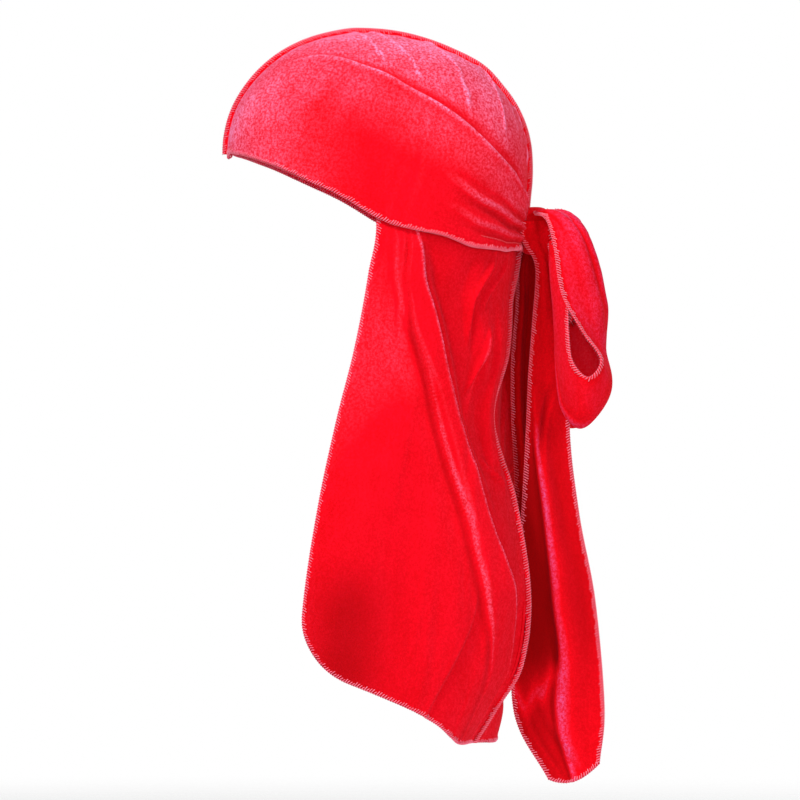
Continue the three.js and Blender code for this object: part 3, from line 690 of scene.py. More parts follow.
class NodeHand:
    """Places and links nodes in a tree with few words."""

    def __init__(self, tree: bpy.types.NodeTree) -> None:
        """Keeps the tree to work on."""
        self.tree = tree

    def node(self, kind: str, **values: object) -> bpy.types.Node:
        """Adds a node and sets its properties.

        Args:
            kind: Blender's name of the node.
            values: Properties of the node.

        Returns:
            The node.
        """
        made = self.tree.nodes.new(kind)
        for key, value in values.items():
            setattr(made, key, value)
        return made

    def join(self, source: bpy.types.NodeSocket, target: bpy.types.NodeSocket) -> None:
        """Links two sockets."""
        self.tree.links.new(source, target)

    def feed(self, target: bpy.types.NodeSocket, value: object) -> None:
        """Links or sets a socket, whichever the value calls for.

        Args:
            target: The socket to feed.
            value: A socket to link, or a number or colour to set.
        """
        if isinstance(value, bpy.types.NodeSocket):
            self.join(value, target)
        else:
            target.default_value = value

    def maths(self, operation: str, first: object, second: object = 0.0,
              clamp: bool = False) -> bpy.types.NodeSocket:
        """Adds a Math node.

        Args:
            operation: Blender's name of the sum.
            first: A socket or number.
            second: A socket or number.
            clamp: Whether the result is held to 0 and 1.

        Returns:
            The result's socket.
        """
        made = self.node("ShaderNodeMath", operation=operation, use_clamp=clamp)
        self.feed(made.inputs[0], first)
        self.feed(made.inputs[1], second)
        return made.outputs[0]

    def noise(self, vector: bpy.types.NodeSocket, scale: object, detail: float,
              rough: float) -> bpy.types.NodeSocket:
        """Adds a Noise Texture node.

        Args:
            vector: Where it is read.
            scale: Its scale, a socket or number.
            detail: How many finer noises it adds.
            rough: How strong the finer noises are.

        Returns:
            Its Fac socket.
        """
        made = self.node("ShaderNodeTexNoise")
        self.join(vector, made.inputs["Vector"])
        self.feed(made.inputs["Scale"], scale)
        self.fill(made, {"Detail": detail, "Roughness": rough})
        return made.outputs["Fac"]

    def spread(self, value: bpy.types.NodeSocket, low: float, high: float) -> bpy.types.NodeSocket:
        """Stretches a range softly over 0 to 1.

        Args:
            value: The number's socket.
            low: What becomes 0.
            high: What becomes 1.

        Returns:
            The stretched number's socket.
        """
        made = self.node("ShaderNodeMapRange", interpolation_type="SMOOTHSTEP")
        self.join(value, made.inputs["Value"])
        self.fill(made, {"From Min": low, "From Max": high})
        return made.outputs["Result"]

    def blend(self, share: object, first: object, second: object) -> bpy.types.NodeSocket:
        """Mixes two colours.

        Args:
            share: A socket or number, 0 for the first colour.
            first: A colour or its socket.
            second: A colour or its socket.

        Returns:
            The mixed colour's socket.
        """
        made = self.node("ShaderNodeMix", data_type="RGBA")
        self.feed(made.inputs["Factor"], share)
        self.feed(made.inputs[6], first)
        self.feed(made.inputs[7], second)
        return made.outputs[2]

    def fill(self, node: bpy.types.Node, values: dict[str, object]) -> None:
        """Sets constants on a node's inputs."""
        for label, value in values.items():
            node.inputs[label].default_value = value

    def emboss(self, height: bpy.types.NodeSocket, strength: float, distance: float,
               shader: bpy.types.Node) -> None:
        """Adds a Bump node to a shader.

        Args:
            height: The height's socket.
            strength: Strength of the relief.
            distance: Height of the relief in metres.
            shader: The shader that takes it.
        """
        relief = self.node("ShaderNodeBump")
        self.fill(relief, {"Strength": strength, "Distance": distance})
        self.join(height, relief.inputs["Height"])
        self.join(relief.outputs["Normal"], shader.inputs["Normal"])


def start_material(name: str) -> tuple[bpy.types.Material, NodeHand, bpy.types.Node]:
    """Starts a material with nodes.

    Args:
        name: Name of the material.

    Returns:
        The material, a hand for its nodes and its shader.
    """
    material = bpy.data.materials.new(name)
    material.use_nodes = True
    return material, NodeHand(material.node_tree), material.node_tree.nodes["Principled BSDF"]


def pile_group() -> bpy.types.NodeTree:
    """Builds the short pile: its grain, the crushed patches and the brushed streaks.

    Returns:
        A group with outputs Tone, Speck and Height.
    """
    group = node_group("velvet_pile", {"Grain": 1500.0, "Patch": 55.0, "Streak": 26.0},
                       ("Tone", "Speck", "Height"))
    hand = NodeHand(group)
    given, out = group.nodes["in"], group.nodes["out"]
    place = hand.node("ShaderNodeTexCoord").outputs["Object"]
    grain = hand.noise(place, given.outputs["Grain"], 2.0, 0.6)
    patch = hand.noise(place, given.outputs["Patch"], 3.0, 0.6)
    stretch = hand.node("ShaderNodeMapping")
    stretch.inputs["Scale"].default_value = (1.0, 1.0, 0.14)
    hand.join(place, stretch.inputs["Vector"])
    streak = hand.noise(stretch.outputs["Vector"], given.outputs["Streak"], 4.0, 0.62)
    tone = hand.maths("ADD", hand.maths("MULTIPLY", patch, 0.5), hand.maths("MULTIPLY", streak, 0.5))
    speck = hand.noise(place, hand.maths("MULTIPLY", given.outputs["Grain"], 0.42), 4.0, 0.78)
    hand.join(hand.spread(tone, 0.24, 0.72), out.inputs["Tone"])
    hand.join(hand.spread(speck, 0.4, 0.64), out.inputs["Speck"])
    height = hand.maths("ADD", hand.maths("MULTIPLY", grain, 0.6), hand.maths("MULTIPLY", speck, 0.6))
    hand.join(height, out.inputs["Height"])
    return group


@dataclass(frozen=True)
class VelvetFinish:
    """Short pile velvet: how it is dyed, how its pile takes the light, and the painted shade, highlight and
    sheen mixed into its colour.
    """

    name: str
    lit: tuple[float, float, float]
    deep: tuple[float, float, float]
    # Painted highlight and sheen colour, mixed in on faces seen at a grazing angle and where the painted
    # light number is above 0.
    painted_sheen: tuple[float, float, float]
    # Painted shade colour, mixed in where the painted light number is below 0.
    shade: tuple[float, float, float] = (0.3, 0.0004, 0.0015)
    sheen: float = 0.05
    # How much of the painted sheen colour goes on faces seen at a grazing angle.
    edge: float = 0.1
    bump: float = 0.5
    glow: float = 0.0

    def build(self, pile: bpy.types.NodeTree) -> bpy.types.Material:
        """Makes the material.

        Args:
            pile: The shared group of the pile.

        Returns:
            The material.
        """
        material, hand, shader = start_material(self.name)
        cloth = hand.node("ShaderNodeGroup", node_tree=pile)
        # Reads the painted light and shade number that each sheet carries.
        lay = hand.node("ShaderNodeAttribute", attribute_name="lay").outputs["Fac"]
        dark = hand.maths("MULTIPLY", hand.maths("MINIMUM", lay, 0.0), -1.0, clamp=True)
        worn = hand.maths("ADD", hand.maths("MULTIPLY", cloth.outputs["Tone"], 0.5),
                          hand.maths("MULTIPLY", cloth.outputs["Speck"], 0.5))
        # The pile's random crushed and streaked tone, then painted shade where the painted light number is
        # below 0.
        ground = hand.blend(dark, hand.blend(worn, (*self.deep, 1), (*self.lit, 1)), (*self.shade, 1))
        # Painted sheen: the sheen colour mixed in where a face turns away from the camera, flecked by the
        # pile's specks.
        facing = hand.node("ShaderNodeLayerWeight")
        facing.inputs["Blend"].default_value = 0.25
        fuzz = hand.maths("ADD", hand.maths("MULTIPLY", cloth.outputs["Speck"], 1.0), 0.14)
        rim = hand.maths("MULTIPLY", hand.maths("MULTIPLY", facing.outputs["Facing"], self.edge), fuzz)
        cloudy = hand.maths("ADD", hand.maths("MULTIPLY", cloth.outputs["Tone"], 0.9), 0.5)
        # Painted highlight: the sheen colour mixed in where the painted light number is above 0, in cloudy
        # patches.
        raised = hand.maths("MULTIPLY", hand.maths("MAXIMUM", lay, 0.0), fuzz)
        brushed = hand.maths("MULTIPLY", raised, cloudy)
        colour = hand.blend(hand.maths("ADD", rim, brushed, clamp=True), ground, (*self.painted_sheen, 1))
        hand.join(colour, shader.inputs["Base Color"])
        hand.fill(shader, {
            "Roughness": 0.95, "Specular IOR Level": 0.06,
            "Sheen Weight": self.sheen, "Sheen Roughness": 0.35, "Sheen Tint": (1.0, 0.22, 0.36, 1),
            "Subsurface Weight": self.glow, "Subsurface Radius": (1.0, 0.45, 0.5), "Subsurface Scale": 0.004})
        hand.emboss(cloth.outputs["Height"], self.bump, 0.0006, shader)
        return material


@dataclass(frozen=True)
class ThreadFinish:
    """Matt sewing thread, lighter than the velvet."""

    name: str
    lit: tuple[float, float, float]
    deep: tuple[float, float, float]

    def build(self, pile: bpy.types.NodeTree) -> bpy.types.Material:
        """Makes the material.

        Args:
            pile: The shared group of the pile, read finely for the thread's fibres.

        Returns:
            The material.
        """
        material, hand, shader = start_material(self.name)
        fibres = hand.node("ShaderNodeGroup", node_tree=pile)
        hand.fill(fibres, {"Grain": 3200.0, "Patch": 260.0})
        dyed = hand.blend(fibres.outputs["Tone"], (*self.deep, 1), (*self.lit, 1))
        hand.join(dyed, shader.inputs["Base Color"])
        hand.fill(shader, {"Roughness": 0.75, "Sheen Weight": 0.35, "Sheen Tint": (1.0, 0.6, 0.66, 1)})
        hand.emboss(fibres.outputs["Height"], 0.3, 0.0003, shader)
        return material


def dress(piece: bpy.types.Object, materials: Sequence[bpy.types.Material]) -> None:
    """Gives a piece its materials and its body.

    Args:
        piece: The piece.
        materials: Its materials in slot order.
    """
    for material in materials:
        piece.data.materials.append(material)
    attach(piece, BODY)
    LOG.info("%s: %d faces", piece.name, len(piece.data.polygons))


class Wardrobe:
    """Every finish of the durag, built once, and the thread that is sewn with them."""

    def __init__(self) -> None:
        """Builds the shared group and the materials."""
        pile = pile_group()
        # The third colour of each velvet is its painted highlight and sheen colour; the strap's is a mauve
        # painted sheen.
        self.velvet = VelvetFinish("red_velvet", lit=(1.0, 0.003, 0.018), deep=(0.74, 0.0008, 0.005),
                                   painted_sheen=(1.0, 0.28, 0.52)).build(pile)
        self.strap = VelvetFinish("strap_velvet", lit=(0.96, 0.0022, 0.012), deep=(0.68, 0.0006, 0.004),
                                  painted_sheen=(0.72, 0.08, 0.24)).build(pile)
        self.reverse = VelvetFinish("velvet_reverse", lit=(0.98, 0.045, 0.12), deep=(0.9, 0.015, 0.05),
                                    painted_sheen=(1.0, 0.26, 0.42), sheen=0.3, bump=0.35, glow=1.0).build(pile)
        self.thread = ThreadFinish("overlock_thread", lit=(0.98, 0.24, 0.36),
                                   deep=(0.9, 0.08, 0.16)).build(pile)
        self.rolled = ThreadFinish("rolled_edge", lit=(0.93, 0.035, 0.075),
                                   deep=(0.78, 0.008, 0.022)).build(pile)

    def sew(self, name: str, edge: Sequence[np.ndarray], seed: int,
            stitch: Overlock = Overlock()) -> bpy.types.Object:
        """Makes the overlock along an edge and gives it its thread.

        Args:
            name: Name of the thread.
            edge: Points along the edge, ways into the cloth and outward ways.
            seed: Picks the unevenness.
            stitch: Size of the stitches.

        Returns:
            The thread.
        """
        thread = stitch.build(name, *edge, seed=seed)
        dress(thread, (self.thread, self.rolled))
        return thread


@dataclass
class Crown:
    """Two velvet panels over the head, joined by a seam that stands out."""

    wardrobe: Wardrobe
    ridge_rise: float = 3.4
    seam_rise: float = 2.8
    columns: int = 250
    rows: int = 112
    seam_sway: float = 0.35
    seam_waves: float = 30
    seam_section: tuple[tuple[float, float], ...] = (
        (-4.2, -2.2), (-4.2, -1.8), (-1.0, -1.5), (-1.05, 0.6), (-0.8, 1.0), (0, 1.15),
        (0.8, 1.0), (1.05, 0.6), (1.0, -1.5), (4.2, -1.8), (4.2, -2.2), (0, -2.2))
    seam_ends: tuple[float, float] = (-0.745, 0.985)
    seam_places: tuple[int, int] = (90, 130)
    stitch_start: float = 0.78
    stitch_row: int = -7
    rays: tuple[tuple[float, float, float, float, float], ...] = (
        (0.414, 0.432, 0.42, 0.9, 0.0072), (0.486, 0.54, 0.46, 1.1, 0.007),
        (0.65, 0.669, 0.47, 1.3, 0.0072), (0.77, 0.797, 0.43, 1.1, 0.0062),
        (0.885, 0.937, 0.3, 1.0, 0.006), (0.58, 0.6, 0.2, 0.3, 0.0055),
        (0.715, 0.735, 0.24, 0.35, 0.005), (0.845, 0.86, 0.3, 0.35, 0.005))
    gathers: tuple[tuple[float, float, float, float], ...] = (
        (0.58, 0.84, 0.018, 0.9), (0.67, 0.76, 0.026, 1.3), (0.722, 0.74, 0.018, -0.7),
        (0.775, 0.6, 0.026, 3), (0.825, 0.62, 0.018, -1.7), (0.885, 0.62, 0.026, 2.4),
        (0.93, 0.66, 0.018, -1.0))

    def ray_lines(self, share: np.ndarray, across: np.ndarray, width: float = 1.0) -> np.ndarray:
        """Finds the creases that fan from the seam to the ridge.

        Args:
            share: Shares from brow to knot.
            across: Shares from seam to hem.
            width: How many times wider than the crease itself.

        Returns:
            Heights, 1 on a full crease.
        """
        total = np.zeros(np.shape(share))
        for number, (start, stop, end, rise, narrow) in enumerate(self.rays):
            place = mix(start, stop, np.clip(across / end, 0, 1) ** 0.6) + 0.003 * waver(across * 4, number)
            fade = smooth((across + 0.01) / 0.03) * (1 - smooth((across - end * 0.76) / (end * 0.26)))
            uneven = 0.75 + 0.3 * waver(across * 9, 30 + number)
            total = total + rise * fade * uneven * bump(share - place, narrow * width)
        return total

    def relief(self, share: np.ndarray, across: np.ndarray) -> np.ndarray:
        """Heights of the ridge, the fan of creases and the gathers.

        Args:
            share: Shares from brow to knot.
            across: Shares from seam to hem.

        Returns:
            Heights in millimetres.
        """
        growth = smooth((share - 0.22) / 0.24) * (1 - smooth((share - 0.93) / 0.07) * 0.5)
        off = across - 0.506 - 0.006 * waver(share * 2, 2)
        band = smooth((off + 0.018) / 0.026) * (1 - smooth(off / 0.3)) + 0.24 * bump(off - 0.01, 0.016)
        under = 0.3 * bump(off + 0.045, 0.03)
        rise = self.ridge_rise * growth * (band - under)
        rise = rise + 0.9 * self.ray_lines(share, across) + 0.4 * self.ray_lines(share, across, 3.5)
        for at, start, width, height in self.gathers:
            gathered = smooth((share - start) / 0.2) * (1 - smooth((share - 0.95) / 0.05) * 0.4)
            beside = across - at - 0.006 * waver(share * 3, int(at * 99))
            rise = rise + height * gathered * bump(beside, width)
        small = creases(share, across, seed=11, count=26, width=0.012)
        folded = 0.2 * small + 0.1 * waver(share * 9 + across * 2, 5)
        return rise + folded * smooth(across / 0.04)

    def face(self, share: np.ndarray, across: np.ndarray) -> np.ndarray:
        """Points of the left panel's pile side.

        Args:
            share: Shares from brow to knot.
            across: Shares from seam to hem.

        Returns:
            Points in millimetres.
        """
        back, out = crown_place(share, across)
        points = crown_body(back, out) + crown_out(back, out) * self.relief(share, across)[..., None]
        points[..., 0] = CROWN_PANEL_GAP + points[..., 0] * (1 - SEAM_HALF_GAP / HALF_WIDTH)
        return points

    def painted_light_map(self, u: np.ndarray, v: np.ndarray) -> np.ndarray:
        """Paints light and shade over a crown panel, from painted shade (-1) to painted highlight and sheen
        (1).

        Args:
            u: Shares from brow to knot.
            v: Shares from seam to hem.

        Returns:
            A number for each place.
        """
        # Painted light: the brow and upper crown lighter and pinker as if lit from above, a painted highlight
        # on the ridge's crest with painted shade just above it, a faint painted sheen on the band below,
        # painted shade low towards the knot, and painted highlights along the fan of creases.
        ridged = smooth((u - 0.2) / 0.2)
        brow = smooth((0.42 - u) / 0.42) * 0.82 * (1 - 0.3 * smooth((v - 0.6) / 0.4))
        upper = (0.34 + 0.8 * smooth((0.5 - v) / 0.5)) * (1 - smooth((v - 0.485) / 0.03))
        upper = upper * smooth((1 - u) / 0.3)
        crest = (0.42 * bump(v - 0.51, 0.008) - 0.16 * bump(v - 0.47, 0.02)) * ridged
        band = 0.16 * bump(v - 0.6, 0.12)
        low = 0.1 * smooth((u - 0.6) / 0.3) * smooth((v - 0.72) / 0.1)
        rays = 1.1 * np.minimum(self.ray_lines(u, v, 0.9), 1)
        # Painted highlight on every crest of the relief and painted shade in every hollow.
        painted_fold_light = 0.34 * standing(self.relief(u, v), 5)
        return np.maximum(brow, upper) + crest + band + rays - low + painted_fold_light

    def panel(self, side: Side) -> None:
        """Makes one panel, the overlock of its hem and its stitch line.

        Args:
            side: Which panel.
        """
        word = side.name.lower()
        places = np.linspace(0, 1, 2001)
        dense = 1 + 2.2 * sum(bump(places - (ray[0] + ray[1]) / 2, 0.025) for ray in self.rays)
        spacing = np.concatenate([[0], np.cumsum((dense[1:] + dense[:-1]) / 2)])
        shares = np.interp(np.linspace(0, spacing[-1], self.columns), spacing, places)
        u, v = np.meshgrid(shares, np.linspace(0, 1, self.rows), indexing="ij")
        outer = self.face(u, v)
        outer[..., 0] *= side.value

        def keep(points: np.ndarray) -> np.ndarray:
            """Holds the reverse side off the middle plane."""
            points[..., 0] = side.value * np.maximum(points[..., 0] * side.value, CROWN_PANEL_GAP)
            return points

        sheet = Sheet(outer, -side.value, limit=keep)
        piece = sheet.build(f"velvet_crown_{word}", self.painted_light_map(u, v))
        dress(piece, (self.wardrobe.velvet, self.wardrobe.reverse))
        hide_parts(f"crown_{word}")
        hem = self.wardrobe.sew(f"crown_hem_thread_{word}", sheet.edge(SheetEdge.LAST_ROW),
                                seed=20 + side.value)
        late, row = shares > self.stitch_start, self.stitch_row
        line = (sheet.outer[late, row], sheet.outer[late, row + 3] - sheet.outer[late, row],
                sheet.outer[late, row] - sheet.inner()[late, row])
        stitch = Overlock(pitch=2.4, reach=0.7, rise=0.35, thread=0.2, slant=2.0, cover=0.2).build(
            f"crown_stitch_line_{word}", *line, seed=50 + side.value)
        dress(stitch, (self.wardrobe.rolled, self.wardrobe.rolled))

    def seam(self) -> None:
        """Makes the upright seam: its allowance, with a foot inside, and the thread over it."""
        brow, knot = self.seam_ends
        before, behind = self.seam_places
        back = np.concatenate([np.linspace(brow, 0, before), np.linspace(0, knot, behind)[1:]])
        line = crown_body(back, np.zeros_like(back))
        run = unit(np.gradient(line, axis=0))
        out = np.stack([np.zeros(len(back)), -run[:, 2], run[:, 1]], -1)
        sway = self.seam_sway * waver(np.linspace(0, self.seam_waves, len(back)), 3)
        shape = np.array(self.seam_section)
        sideways = shape[None, :, 0] * 0.75 + sway[:, None] * np.maximum(shape[None, :, 1], 0)
        upwards = np.where(shape[:, 1] > 0, shape[:, 1] * (self.seam_rise - 0.2), shape[:, 1])
        grid = line[:, None] + out[:, None] * upwards[None, :, None]
        grid[..., 0] += sideways
        piece = add_mesh("crown_seam_allowance", grid.reshape(-1, 3), bar_faces(len(back), len(shape)))
        dress(piece, (self.wardrobe.velvet,))
        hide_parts("centre_seam")
        side = np.tile([[1.0, 0, 0]], (len(back), 1))
        crest = line + out * (self.seam_rise + 0.1)
        crest[:, 0] += sway
        self.wardrobe.sew("crown_seam_thread", (crest, -out, side), seed=31,
                          stitch=Overlock(pitch=1.5, reach=2.6, rise=1.15))

    def build(self) -> None:
        """Makes the whole crown."""
        for side in Side:
            self.panel(side)
        self.seam()


@dataclass(frozen=True)
class Fold:
    """One fold down a cloth: a band raised between two lines, falling off softly beyond them."""

    rows: tuple[tuple[float, float, float, float], ...]
    soft_left: float
    soft_right: float
    lean: float = 0.0
    left: float = 1.0
    right: float = 1.0

    def read(self, u: np.ndarray, fall: np.ndarray) -> np.ndarray:
        """Works out the fold's height.

        Args:
            u: Shares across the cloth.
            fall: Shares of the way down it.

        Returns:
            Heights in millimetres, 0 off the fold.
        """
        table = Table("fall left right rise", self.rows)
        held = np.clip(fall, self.rows[0][0], self.rows[-1][0])
        left, right = table.read(held, "left"), table.read(held, "right")
        rising = smooth((u - left) / self.soft_left + 1)
        falling = smooth((right - u) / self.soft_right + 1)
        return table.read(held, "rise") * rising * falling


@dataclass
class Flap:
    """Two long panels behind the neck, joined by a seam that stands out."""

    wardrobe: Wardrobe
    length: float = 442
    reach: float = 105
    half_width: float = 90
    tuck: float = 14
    blend: float = 34
    fold_blend: float = 11
    corner: float = 30
    seam_rise: float = 3
    start_turn: float = 0.5
    columns: int = 176
    rows: int = 164
    corner_run: float = 150
    seam_sway: float = 0.45
    seam_waves: float = 24
    seam_section: tuple[tuple[float, float], ...] = (
        (-3.8, -2.3), (-3.8, -1.9), (-1.0, -1.6), (-1.0, 1.6), (-0.7, 2.4),
        (0.7, 2.4), (1.0, 1.6), (1.0, -1.6), (3.8, -1.9), (3.8, -2.3))
    seam_top: float = 0.018
    seam_places: int = 264
    seam_side: float = 0.8
    seam_hold: float = 1.0
    bare_rows: int = 8
    folds: tuple[Fold, ...] = (
        Fold(((0, 0.13, 0.156, 3.4), (0.057, 0.16, 0.222, 4.4), (0.12, 0.21, 0.306, 5),
              (0.18, 0.25, 0.362, 5.6), (0.24, 0.315, 0.418, 6.2), (0.33, 0.432, 0.53, 6.6),
              (0.44, 0.545, 0.655, 6.6), (0.53, 0.63, 0.725, 6.2), (0.62, 0.68, 0.805, 5.4),
              (0.71, 0.735, 0.89, 3.8), (0.8, 0.8, 0.94, 1.2), (0.9, 0.84, 0.96, 0)),
             0.018, 0.014, 0.1),
        Fold(((0, 0.066, 0.096, 2.6), (0.057, 0.1, 0.13, 3), (0.13, 0.165, 0.195, 2.2),
              (0.24, 0.2, 0.23, 0)), 0.024, 0.022),
        Fold(((0, 0.012, 0.02, 1.4), (0.1, 0.02, 0.05, 1.4), (0.3, 0.03, 0.09, 0.6),
              (0.5, 0.04, 0.1, 0)), 0.03, 0.05),
        Fold(((0.02, 0.22, 0.46, -2.2), (0.12, 0.38, 0.5, -4.6), (0.24, 0.5, 0.62, -4.4),
              (0.36, 0.66, 0.74, -4), (0.46, 0.78, 0.83, -2.4), (0.56, 0.84, 0.87, 0)), 0.045, 0.09),
        Fold(((0.08, 0.09, 0.1, 0), (0.18, 0.19, 0.2, -1.6), (0.3, 0.38, 0.4, -2.6),
              (0.44, 0.53, 0.55, -3), (0.6, 0.64, 0.66, -3), (0.74, 0.7, 0.72, -2),
              (0.84, 0.72, 0.74, 0)), 0.12, 0.03),
        Fold(((0.68, 0.71, 1, 0), (0.745, 0.69, 1, -2.6), (0.8, 0.65, 1, -3.2), (0.873, 0.592, 1, -2.8),
              (0.93, 0.556, 1, -1.8), (1, 0.52, 1, -1)), 0.014, 0.12),
        Fold(((0, 0.63, 0.64, 2.4), (0.05, 0.585, 0.595, 3), (0.1, 0.545, 0.55, 3.4),
              (0.16, 0.547, 0.552, 2.4), (0.2, 0.56, 0.565, 0)), 0.03, 0.012),
        Fold(((0, 0.785, 0.79, 2), (0.05, 0.7, 0.705, 2.6), (0.09, 0.63, 0.64, 2),
              (0.13, 0.61, 0.62, 0)), 0.03, 0.014),
        Fold(((0.15, 0.67, 0.68, 0), (0.183, 0.652, 0.665, 3), (0.25, 0.623, 0.63, 3.4),
              (0.29, 0.61, 0.62, 0)), 0.016, 0.03),
        Fold(((0.1, 0.74, 0.78, 0), (0.18, 0.76, 0.8, 2.2), (0.3, 0.78, 0.84, 3), (0.42, 0.84, 0.88, 2.4),
              (0.5, 0.88, 0.9, 0)), 0.04, 0.03),
        Fold(((0.42, 0.77, 0.78, 0), (0.44, 0.8, 0.81, 1.6), (0.467, 0.88, 0.89, 1.8),
              (0.5, 0.93, 0.94, 0)), 0.02, 0.02),
        Fold(((0.3, 0.3, 0.34, 0), (0.5, 0.26, 0.31, 1.2), (0.75, 0.3, 0.33, 0.9),
              (1, 0.32, 0.36, 1.2)), 0.12, 0.08),
        Fold(((0.45, 0.12, 0.2, 0), (0.66, 0.14, 0.24, -2.6), (0.85, 0.18, 0.26, -1.6),
              (1, 0.2, 0.24, -0.4)), 0.12, 0.1),
        Fold(((0.5, 0.44, 0.48, 0), (0.7, 0.42, 0.47, 1.1), (0.86, 0.44, 0.48, 1.2),
              (1, 0.42, 0.46, 0.8)), 0.08, 0.05),
        Fold(((0, 0.74, 0.78, 12), (0.05, 0.74, 0.78, 18), (0.12, 0.73, 0.77, 18), (0.2, 0.72, 0.76, 14.5),
              (0.34, 0.72, 0.76, 16), (0.44, 0.74, 0.78, 20), (0.6, 0.76, 0.8, 19), (0.72, 0.76, 0.8, 0)),
             0.1, 0.1, 0.0, 0.0, 1.0),
    )

    def hem_levels(self) -> Table:
        """Finds how deep the crown's hem lies behind each place of the flap.

        Returns:
            A table of share and depth.
        """
        share = np.linspace(0, 1, 4001)
        back, out = crown_place(share, np.ones_like(share))
        turn = np.arctan2(out, -back) / math.pi
        at = np.linspace(0, 1, 21)
        level = np.interp(self.start_turn + (1 - self.start_turn) * at, turn, np.hypot(back, out))
        return Table("share hem", np.stack([at, level**2 * CROWN_DEPTH], -1))

    def face(self, side: Side, u: np.ndarray, v: np.ndarray, detail: float = 1.0) -> np.ndarray:
        """Points of one half's pile side.

        Args:
            side: Which half.
            u: Shares from the free edge to the seam.
            v: Shares from the tucked top to the hem.
            detail: Strength of the small creases.

        Returns:
            Points in millimetres.
        """
        hem = self.hem_levels().read(u, "hem")
        top = hem - self.tuck
        corner = np.clip(1 - u * self.corner_run / self.corner, 0, 1)
        bottom = FLAP_HEM.read(u, "depth") * self.length - self.corner * (1 - np.sqrt(1 - corner**2))
        depth = mix(top, bottom, v)
        turn = "turn" if side is Side.LEFT else "far"
        plan = {name: FLAP_LEVELS.read(depth / self.length, name)
                for name in FLAP_LEVELS.columns if name != "depth"}
        w = 1 - u
        spots = [(plan[f"{name}_out"] * (1 if name == "seam" else side.value), plan[f"{name}_back"])
                 for name in ("edge", "side", turn, "seam")]
        curve = [w**3 * spots[0][k] + 3 * w * w * u * spots[1][k] + 3 * w * u * u * spots[2][k]
                 + u**3 * spots[3][k] for k in (0, 1)]
        slope = [3 * w * w * (spots[1][k] - spots[0][k]) + 6 * w * u * (spots[2][k] - spots[1][k])
                 + 3 * u * u * (spots[3][k] - spots[2][k]) for k in (0, 1)]
        hanging = np.stack([curve[0] * self.half_width, curve[1] * self.reach, CLOTH - depth], -1)
        run = unit(np.stack([slope[0] * self.half_width, slope[1] * self.reach, 0 * u], -1))
        out = np.stack([run[..., 1] * side.value, -run[..., 0] * side.value, 0 * u], -1)
        fall = np.clip((depth - hem) / (self.length - hem), 0, 1)
        rise, lean = self.fold_heights(side, u, fall)
        small = creases(u, fall, seed=40 + side.value, count=34, width=0.02, slant=0.25)
        fine = detail * (0.5 * small + 0.35 * waver(u * 3 + fall, 8))
        rise = rise + fine * smooth(w / 0.05)
        folded = smooth((depth - hem - 1) / self.fold_blend)[..., None]
        around = (self.start_turn + (1 - self.start_turn) * u) * math.pi
        level = np.sqrt(depth / CROWN_DEPTH)
        back, sideways = -level * np.cos(around), level * np.sin(around)
        tucked = crown_body(back, sideways) - crown_out(back, sideways) * TUCK_INSET
        tucked[..., 0] = (tucked[..., 0] * (1 - SEAM_HALF_GAP / HALF_WIDTH) + SEAM_HALF_GAP) * side.value
        tucked[..., 2] = CLOTH - depth
        plain = mix(tucked, hanging, smooth((depth - hem) / self.blend))
        return plain + (out * rise[..., None] + run * lean[..., None]) * folded

    def fold_heights(self, side: Side, u: np.ndarray, fall: np.ndarray) -> tuple[np.ndarray, np.ndarray]:
        """Sums the folds.

        Args:
            side: Which half.
            u: Shares from the free edge to the seam.
            fall: Shares of the way down below the crown's hem.

        Returns:
            Heights, and how far the folds push along the cloth.
        """
        rise, lean = np.zeros(np.shape(u)), np.zeros(np.shape(u))
        edge = smooth((1 - u) / 0.05)
        for fold in self.folds:
            height = fold.read(u, fall) * edge * (fold.left if side is Side.LEFT else fold.right)
            rise = rise + height
            lean = lean + fold.lean * height * np.clip(fall * 3, 0, 1)
        return rise, lean

    def painted_light_map(self, side: Side, u: np.ndarray, fall: np.ndarray) -> np.ndarray:
        """Paints light and shade over a flap half, from painted shade (-1) to painted highlight and sheen
        (1).

        Args:
            side: Which half.
            u: Shares from the free edge to the seam.
            fall: Shares of the way down below the crown's hem.

        Returns:
            A number for each place.
        """
        main = Table("fall left right rise", self.folds[0].rows)
        left, right = main.read(np.clip(fall, 0, 1), "left"), main.read(np.clip(fall, 0, 1), "right")
        # Painted highlight lines along both edges of the main pleat, a painted shadow line just left of it,
        # and painted shade in the pocket between the pleat and the seam.
        lines = 0.75 * bump(u - left + 0.002, 0.0065) * smooth((fall - 0.2) / 0.3)
        lines = lines + 1.25 * bump(u - right, 0.0065)
        beside = bump(u - left + 0.028, 0.014) * smooth((fall - 0.12) / 0.1)
        pocket = smooth((u - right - 0.01) / 0.04) * (1 - smooth((fall - 0.5) / 0.3))
        rise, _ = self.fold_heights(side, u, fall)
        # Painted shadow on the lower left of the panel.
        patch = smooth((fall - 0.6) / 0.14) * (1 - smooth((fall - 0.88) / 0.1)) * bump(u - 0.16, 0.14)
        # Painted sheen on the upper panel left of the main pleat, over a slight overall darkening and painted
        # shade towards the bottom.
        painted_sheen_low_shade = -0.07 + 0.13 * bump(fall - 0.22, 0.2) * (1 - smooth((u - left + 0.04) / 0.02))
        painted_sheen_low_shade = painted_sheen_low_shade - 0.1 * smooth((fall - 0.5) / 0.4)
        bands = 0.1 * waver(u * 2.2 + fall * 0.3, 12) * smooth((fall - 0.2) / 0.3)
        bands = bands * (1 - smooth((u - left) / 0.05))
